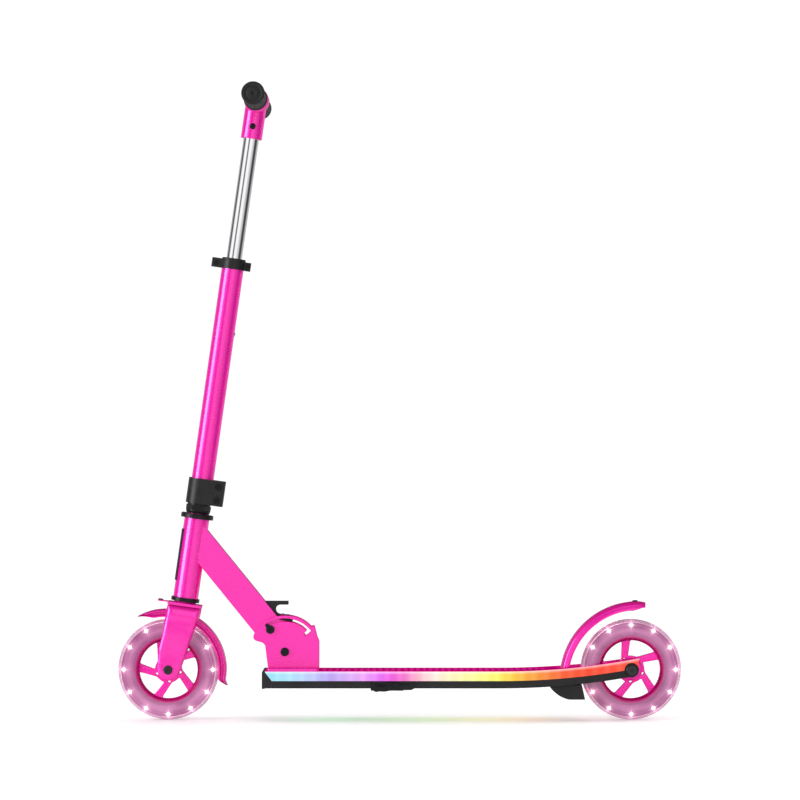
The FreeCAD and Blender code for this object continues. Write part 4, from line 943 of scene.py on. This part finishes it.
def build_rear_fender():
    stations = []
    for degrees in evenly(84.7, 175.8, 96):
        end = 1 - eased(degrees, 84.0, 93.0)
        root = eased(degrees, 168.0, 176.0)
        stations.append((degrees, 1 - 0.45 * end, 1 - 0.12 * end - 0.06 * root, -1.2 * MM * end ** 2))
    sweep = fender_sweep("rear_sweep", stations, **REAR_FENDER)
    pivot = next(joint for joint in frame["joints"] if joint["child"] == "rear_brake")["pos_m"]
    knuckle = turned("knuckle", KNUCKLE, 48, (pivot[0], 0.0, pivot[2]))
    piece = new_piece("rear_fender_pressing", joined("rear_fender_pressing", [sweep, knuckle]),
                      SLOTS["rear_fender"], "rear_brake")
    smooth_by_angle(piece, 50.0)
    dress(piece, OWN["rear_fender"])
    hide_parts("rear_fender")


build_front_fender()
build_rear_fender()


# ---------------- tee sleeve

SLEEVE = [(11.2, -27.0), (16.6, -27.0), (17.4, -26.6), (17.8, -25.8),
          (17.8, 25.8), (17.4, 26.6), (16.6, 27.0), (11.2, 27.0)]


def build_tee_sleeve():
    """The wider cross sleeve of the tee, with its rolled ends."""
    bar = centre_of("left_grip")
    cross = turned("cross", SLEEVE, 96, (bar.x, 0.0, bar.z))
    piece = new_piece("tee_sleeve", cross, "pink_paint", "handlebar")
    smooth_by_angle(piece, 40.0)


build_tee_sleeve()


# ---------------- deck grip pattern

PATTERN_GAP = 8 * MM
PATTERN_END = 222.0 * MM
PATTERN_HALF_WIDTH = 38.0 * MM
PITCH_ALONG = 9.0 * MM
PITCH_ACROSS = 7.0 * MM
LOZENGE_LENGTH = 6.8 * MM
LOZENGE_WIDTH = 3.0 * MM
LOZENGE_HEIGHT = 0.35 * MM


def deck_height(x):
    """Height of the deck's top surface at x."""
    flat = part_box("base_plate")[0].z
    if x <= BEND_START:
        return flat
    return flat + RISE_RADIUS - math.sqrt(RISE_RADIUS ** 2 - (x - BEND_START) ** 2)


def build_deck_pattern():
    """Rows of low raised lozenges over the deck's top, fewer where the deck narrows towards its end."""
    work = bmesh.new()
    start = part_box("base_plate")[1].x + PATTERN_GAP
    rows = int(PATTERN_HALF_WIDTH / PITCH_ACROSS)
    for column in range(int((PATTERN_END - start) / PITCH_ALONG)):
        x = start + column * PITCH_ALONG
        narrowing = 0.3 * max(0.0, x - BEND_START)
        for row in range(-rows, rows + 1):
            y = (row + 0.5 * (column % 2)) * PITCH_ACROSS
            if abs(y) > PATTERN_HALF_WIDTH - narrowing:
                continue
            base, top = [], []
            for corner in range(8):
                along, across = around(1.0, corner, 8)
                for ring, share, lift in ((base, 1.0, -0.15 * MM), (top, 0.72, LOZENGE_HEIGHT)):
                    px = x + LOZENGE_LENGTH / 2 * share * along
                    py = y + LOZENGE_WIDTH / 2 * share * across
                    ring.append(work.verts.new((px, py, deck_height(px) + lift)))
            for corner in range(8):
                follower = (corner + 1) % 8
                work.faces.new((base[corner], base[follower], top[follower], top[corner]))
            work.faces.new(top)
            work.faces.new(list(reversed(base)))
    mesh = bpy.data.meshes.new("deck_grip_pattern")
    bmesh.ops.recalc_face_normals(work, faces=work.faces)
    work.to_mesh(mesh)
    work.free()
    pattern = new_piece("deck_grip_pattern", mesh, "pink_paint", "deck", smooth=False)
    # The lozenges' tops get painted shade, less deep than the deck's.
    dress(pattern, deck_paint("deck_pattern_paint", linear(226, 40, 152), linear(208, 16, 136)))


build_deck_pattern()


# ---------------- kickstand spring and bolts

SPRING_HEIGHT = 0.62
WIRE_RADIUS = 0.55 * MM
COIL_RADIUS = 2.1 * MM
COILS = 7
COIL_SIDES = 14
COIL_START = 5 * MM
COIL_LENGTH = 16 * MM
HOOK = [(1.2, 0.2, 0.0), (3.0, 1.2, 0.5)]
BOLT_PLACES = (27 * MM, 38 * MM)
BOLT_HEAD = [(0.3, -1.4), (2.6, -1.4), (3.4, -0.9), (3.7, -0.2), (3.7, 1.6), (0.3, 1.6)]


def tube_along(name, path, radius, sides=10):
    """A round bar swept along a list of points, with closed ends."""
    points = []
    for index, here in enumerate(path):
        before, after = path[max(0, index - 1)], path[min(len(path) - 1, index + 1)]
        ahead = (after - before).normalized()
        across = ahead.orthogonal().normalized()
        if index:
            across = (last - ahead * last.dot(ahead)).normalized()
        last = across
        up = ahead.cross(across)
        for side in range(sides):
            out, high = around(1.0, side, sides)
            points.append(here + (across * out + up * high) * radius)
    return mesh_from(name, points, ring_faces(len(path), sides))


def build_kickstand_details():
    """A coil spring over the bracket's front and two bolt heads on its face."""
    low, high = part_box("kickstand_bracket")
    level = low.z + SPRING_HEIGHT * (high.z - low.z)
    path = []
    for step in range(COILS * COIL_SIDES + 1):
        out, rise = around(COIL_RADIUS, step, COIL_SIDES)
        along = COIL_LENGTH * step / (COILS * COIL_SIDES)
        path.append(Vector((low.x + COIL_START + along, low.y - 0.6 * MM + out, level + rise)))
    hooks = {}
    for side, coil_end in ((-1, path[0]), (1, path[-1])):
        hooks[side] = [coil_end + Vector((side * x * MM, y * MM, z * MM)) for x, y, z in HOOK]
    wire = hooks[-1][::-1] + path + hooks[1]
    spring = tube_along("kickstand_spring", wire, WIRE_RADIUS)
    new_piece("kickstand_spring", spring, "black_metal", "deck")
    for index, place in enumerate(BOLT_PLACES):
        head = turned("head", BOLT_HEAD, 24, (low.x + place, low.y, level))
        smooth_by_angle(new_piece(f"kickstand_bolt_{index}", head, "black_metal", "deck"))


build_kickstand_details()


# ---------------- floor, light, camera

WALLS = [
    (0.0, 0.10), (0.08, 0.40), (0.15, 0.40), (0.195, 0.08), (0.25, 0.08), (0.28, 0.60), (0.33, 0.95),
    (0.38, 0.95), (0.405, 0.60), (0.428, 0.15), (0.458, 0.15), (0.48, 0.90), (0.535, 0.92), (0.58, 0.85),
    (0.61, 0.62), (0.64, 0.58), (0.66, 0.35), (0.685, 0.06), (0.76, 0.05), (0.80, 0.25), (0.84, 0.50),
    (0.93, 0.50), (1.0, 0.10)]
WHITE = (1.0, 1.0, 1.0, 1.0)
BACKDROP = 1.05
FLOOR_HALF = 14.0
FLOOR_DROP = 0.2 * MM
FADE_START, FADE_END = 0.8, 1.7
CAMERA_LENS = 205.9
CAMERA_PLACE = (0.0004, -6.6, 0.4607)
# Lights are placed for the +Y side and turned over for the other, and sized by width, height and radiance.
SOFTBOX_PLACE = (3.15, 1.35, 0.95)
SOFTBOX = (1.45, 2.4, 8.0)
FILL_PLACE = (-0.8, 5.2, 1.4)
FILL = (2.4, 2.0, 6.6)
STRIP_GLOW = (0.10, 0.05, 1.2)
STRIP_GLOWS = [(-0.10, (90, 210, 120)), (0.02, (150, 220, 90)), (0.11, (240, 225, 80)),
               (0.18, (255, 160, 60)), (0.235, (255, 80, 50))]


def studio_bands(graph, split):
    """Light and dark walls round the studio: 0.5 is the -Y side, 0.25 the -X side and 0.75 the +X side."""
    turn = graph.math("ARCTAN2", split["X"], graph.math("MULTIPLY", split["Y"], -1.0))
    stops = [(position, (value, value, value, 1.0)) for position, value in WALLS]
    return graph.band(graph.ramp(turn, -math.pi, math.pi), stops, "EASE")


def build_floor():
    corners = [(-1, -1), (1, -1), (1, 1), (-1, 1)]
    mesh = mesh_from("floor", [(x * FLOOR_HALF, y * FLOOR_HALF, 0) for x, y in corners], [(0, 1, 2, 3)])
    floor = bpy.data.objects.new("floor", mesh)
    bpy.context.scene.collection.objects.link(floor)
    material, graph = new_material("studio_floor")
    place = graph.place()
    grain = graph.noise(place, 40.0, 3.0)
    far = graph.node("ShaderNodeVectorMath", {0: place}, operation="LENGTH").outputs["Value"]
    fade = graph.ramp(far, FADE_START, FADE_END)
    near_tone = graph.mix(grain, (0.84, 0.84, 0.84, 1.0), (0.87, 0.87, 0.87, 1.0))
    tone = graph.mix(fade, near_tone, (0.0, 0.0, 0.0, 1.0))
    paths = graph.node("ShaderNodeLightPath")
    bands = studio_bands(graph, graph.split(place))
    hue = graph.mix(paths.outputs["Is Glossy Ray"], WHITE, bands)
    # Painted shadow: the floor's glow is dimmed where things close above it hide the sky.
    open_sky = graph.node("ShaderNodeAmbientOcclusion", {"Distance": 0.10}, samples=8).outputs["AO"]
    glow_with_painted_shadow = graph.ramp(open_sky, 0.25, 1.0, 0.15, 0.43)
    glow = graph.math("MULTIPLY_ADD", graph.math("SUBTRACT", BACKDROP, glow_with_painted_shadow), fade, glow_with_painted_shadow)
    glow = graph.math("MULTIPLY", glow, graph.ramp(paths.outputs["Is Diffuse Ray"], 0.0, 1.0, 1.0, 0.3))
    graph.principled({
        "Base Color": tone, "Roughness": 0.6, "Specular IOR Level": 0.1,
        "Emission Color": hue, "Emission Strength": glow})
    dress(floor, material)
    floor.location.z = -FLOOR_DROP


def area_light(name, place, target, width, height, radiance):
    data = bpy.data.lights.new(name, "AREA")
    data.shape = "RECTANGLE"
    data.size = width
    data.size_y = height
    data.energy = math.pi * width * height * radiance
    light = bpy.data.objects.new(name, data)
    bpy.context.scene.collection.objects.link(light)
    light.location = place
    light.rotation_euler = (Vector(target) - Vector(place)).to_track_quat("-Z", "Y").to_euler()
    light.visible_camera = False
    return light


def build_world():
    world = bpy.data.worlds.new("studio")
    bpy.context.scene.world = world
    world.use_nodes = True
    graph = Graph(world.node_tree)
    direction = graph.node("ShaderNodeTexCoord").outputs["Generated"]
    split = graph.split(direction)
    high = graph.ramp(split["Z"], 0.35, 0.8)
    studio = graph.mix(high, studio_bands(graph, split), (0.14, 0.14, 0.14, 1.0))
    paths = graph.node("ShaderNodeLightPath")
    even = graph.node("ShaderNodeBackground", {"Color": WHITE, "Strength": 0.25})
    banded = graph.node("ShaderNodeBackground", {"Color": studio, "Strength": 1.25})
    plain = graph.node("ShaderNodeBackground", {"Color": WHITE, "Strength": BACKDROP})
    lit = graph.node("ShaderNodeMixShader", {0: paths.outputs["Is Glossy Ray"], 1: even, 2: banded})
    seen = graph.node("ShaderNodeMixShader", {0: paths.outputs["Is Camera Ray"], 1: lit, 2: plain})
    graph.node("ShaderNodeOutputWorld", {"Surface": seen})


def build_lights():
    area_light("overhead", (0.0, 0.0, 3.2), (0.0, 0.0, 0.3), 2.6, 2.0, 0.8).visible_glossy = False
    for name, side in (("key_softbox", -1), ("back_softbox", 1)):
        x, y, z = SOFTBOX_PLACE
        softbox = area_light(name, (side * x, side * y, z), (side * 0.1, 0.0, 0.45), *SOFTBOX)
        if side < 0:
            # The mirror-bright tube takes its shine from the walls, so the key light leaves it out.
            unlit = bpy.data.collections.new("key_leaves_out")
            unlit.objects.link(NODES["inner_stem_tube"])
            softbox.light_linking.receiver_collection = unlit
            unlit.collection_objects[0].light_linking.link_state = "EXCLUDE"
        else:
            softbox.visible_glossy = False
    for name, side in (("front_fill", -1), ("back_fill", 1)):
        x, y, z = FILL_PLACE
        fill = area_light(name, (side * x, side * y, z), (0.0, 0.0, 0.4), *FILL)
        fill.visible_glossy = False
    for index, (x, colour) in enumerate(STRIP_GLOWS):
        glow = area_light(f"strip_glow_{index}", (x, 0.0, 0.045), (x, 0.0, 0.0), *STRIP_GLOW)
        glow.data.color = linear(*colour)[:3]


def build_camera():
    data = bpy.data.cameras.new("camera")
    data.sensor_width = 36.0
    data.lens = CAMERA_LENS
    data.clip_end = 100.0
    camera = bpy.data.objects.new("camera", data)
    bpy.context.scene.collection.objects.link(camera)
    camera.location = CAMERA_PLACE
    camera.rotation_euler = (math.pi / 2, 0.0, 0.0)
    bpy.context.scene.camera = camera


build_floor()
build_world()
build_lights()
build_camera()
bpy.context.scene.view_settings.view_transform = "Standard"
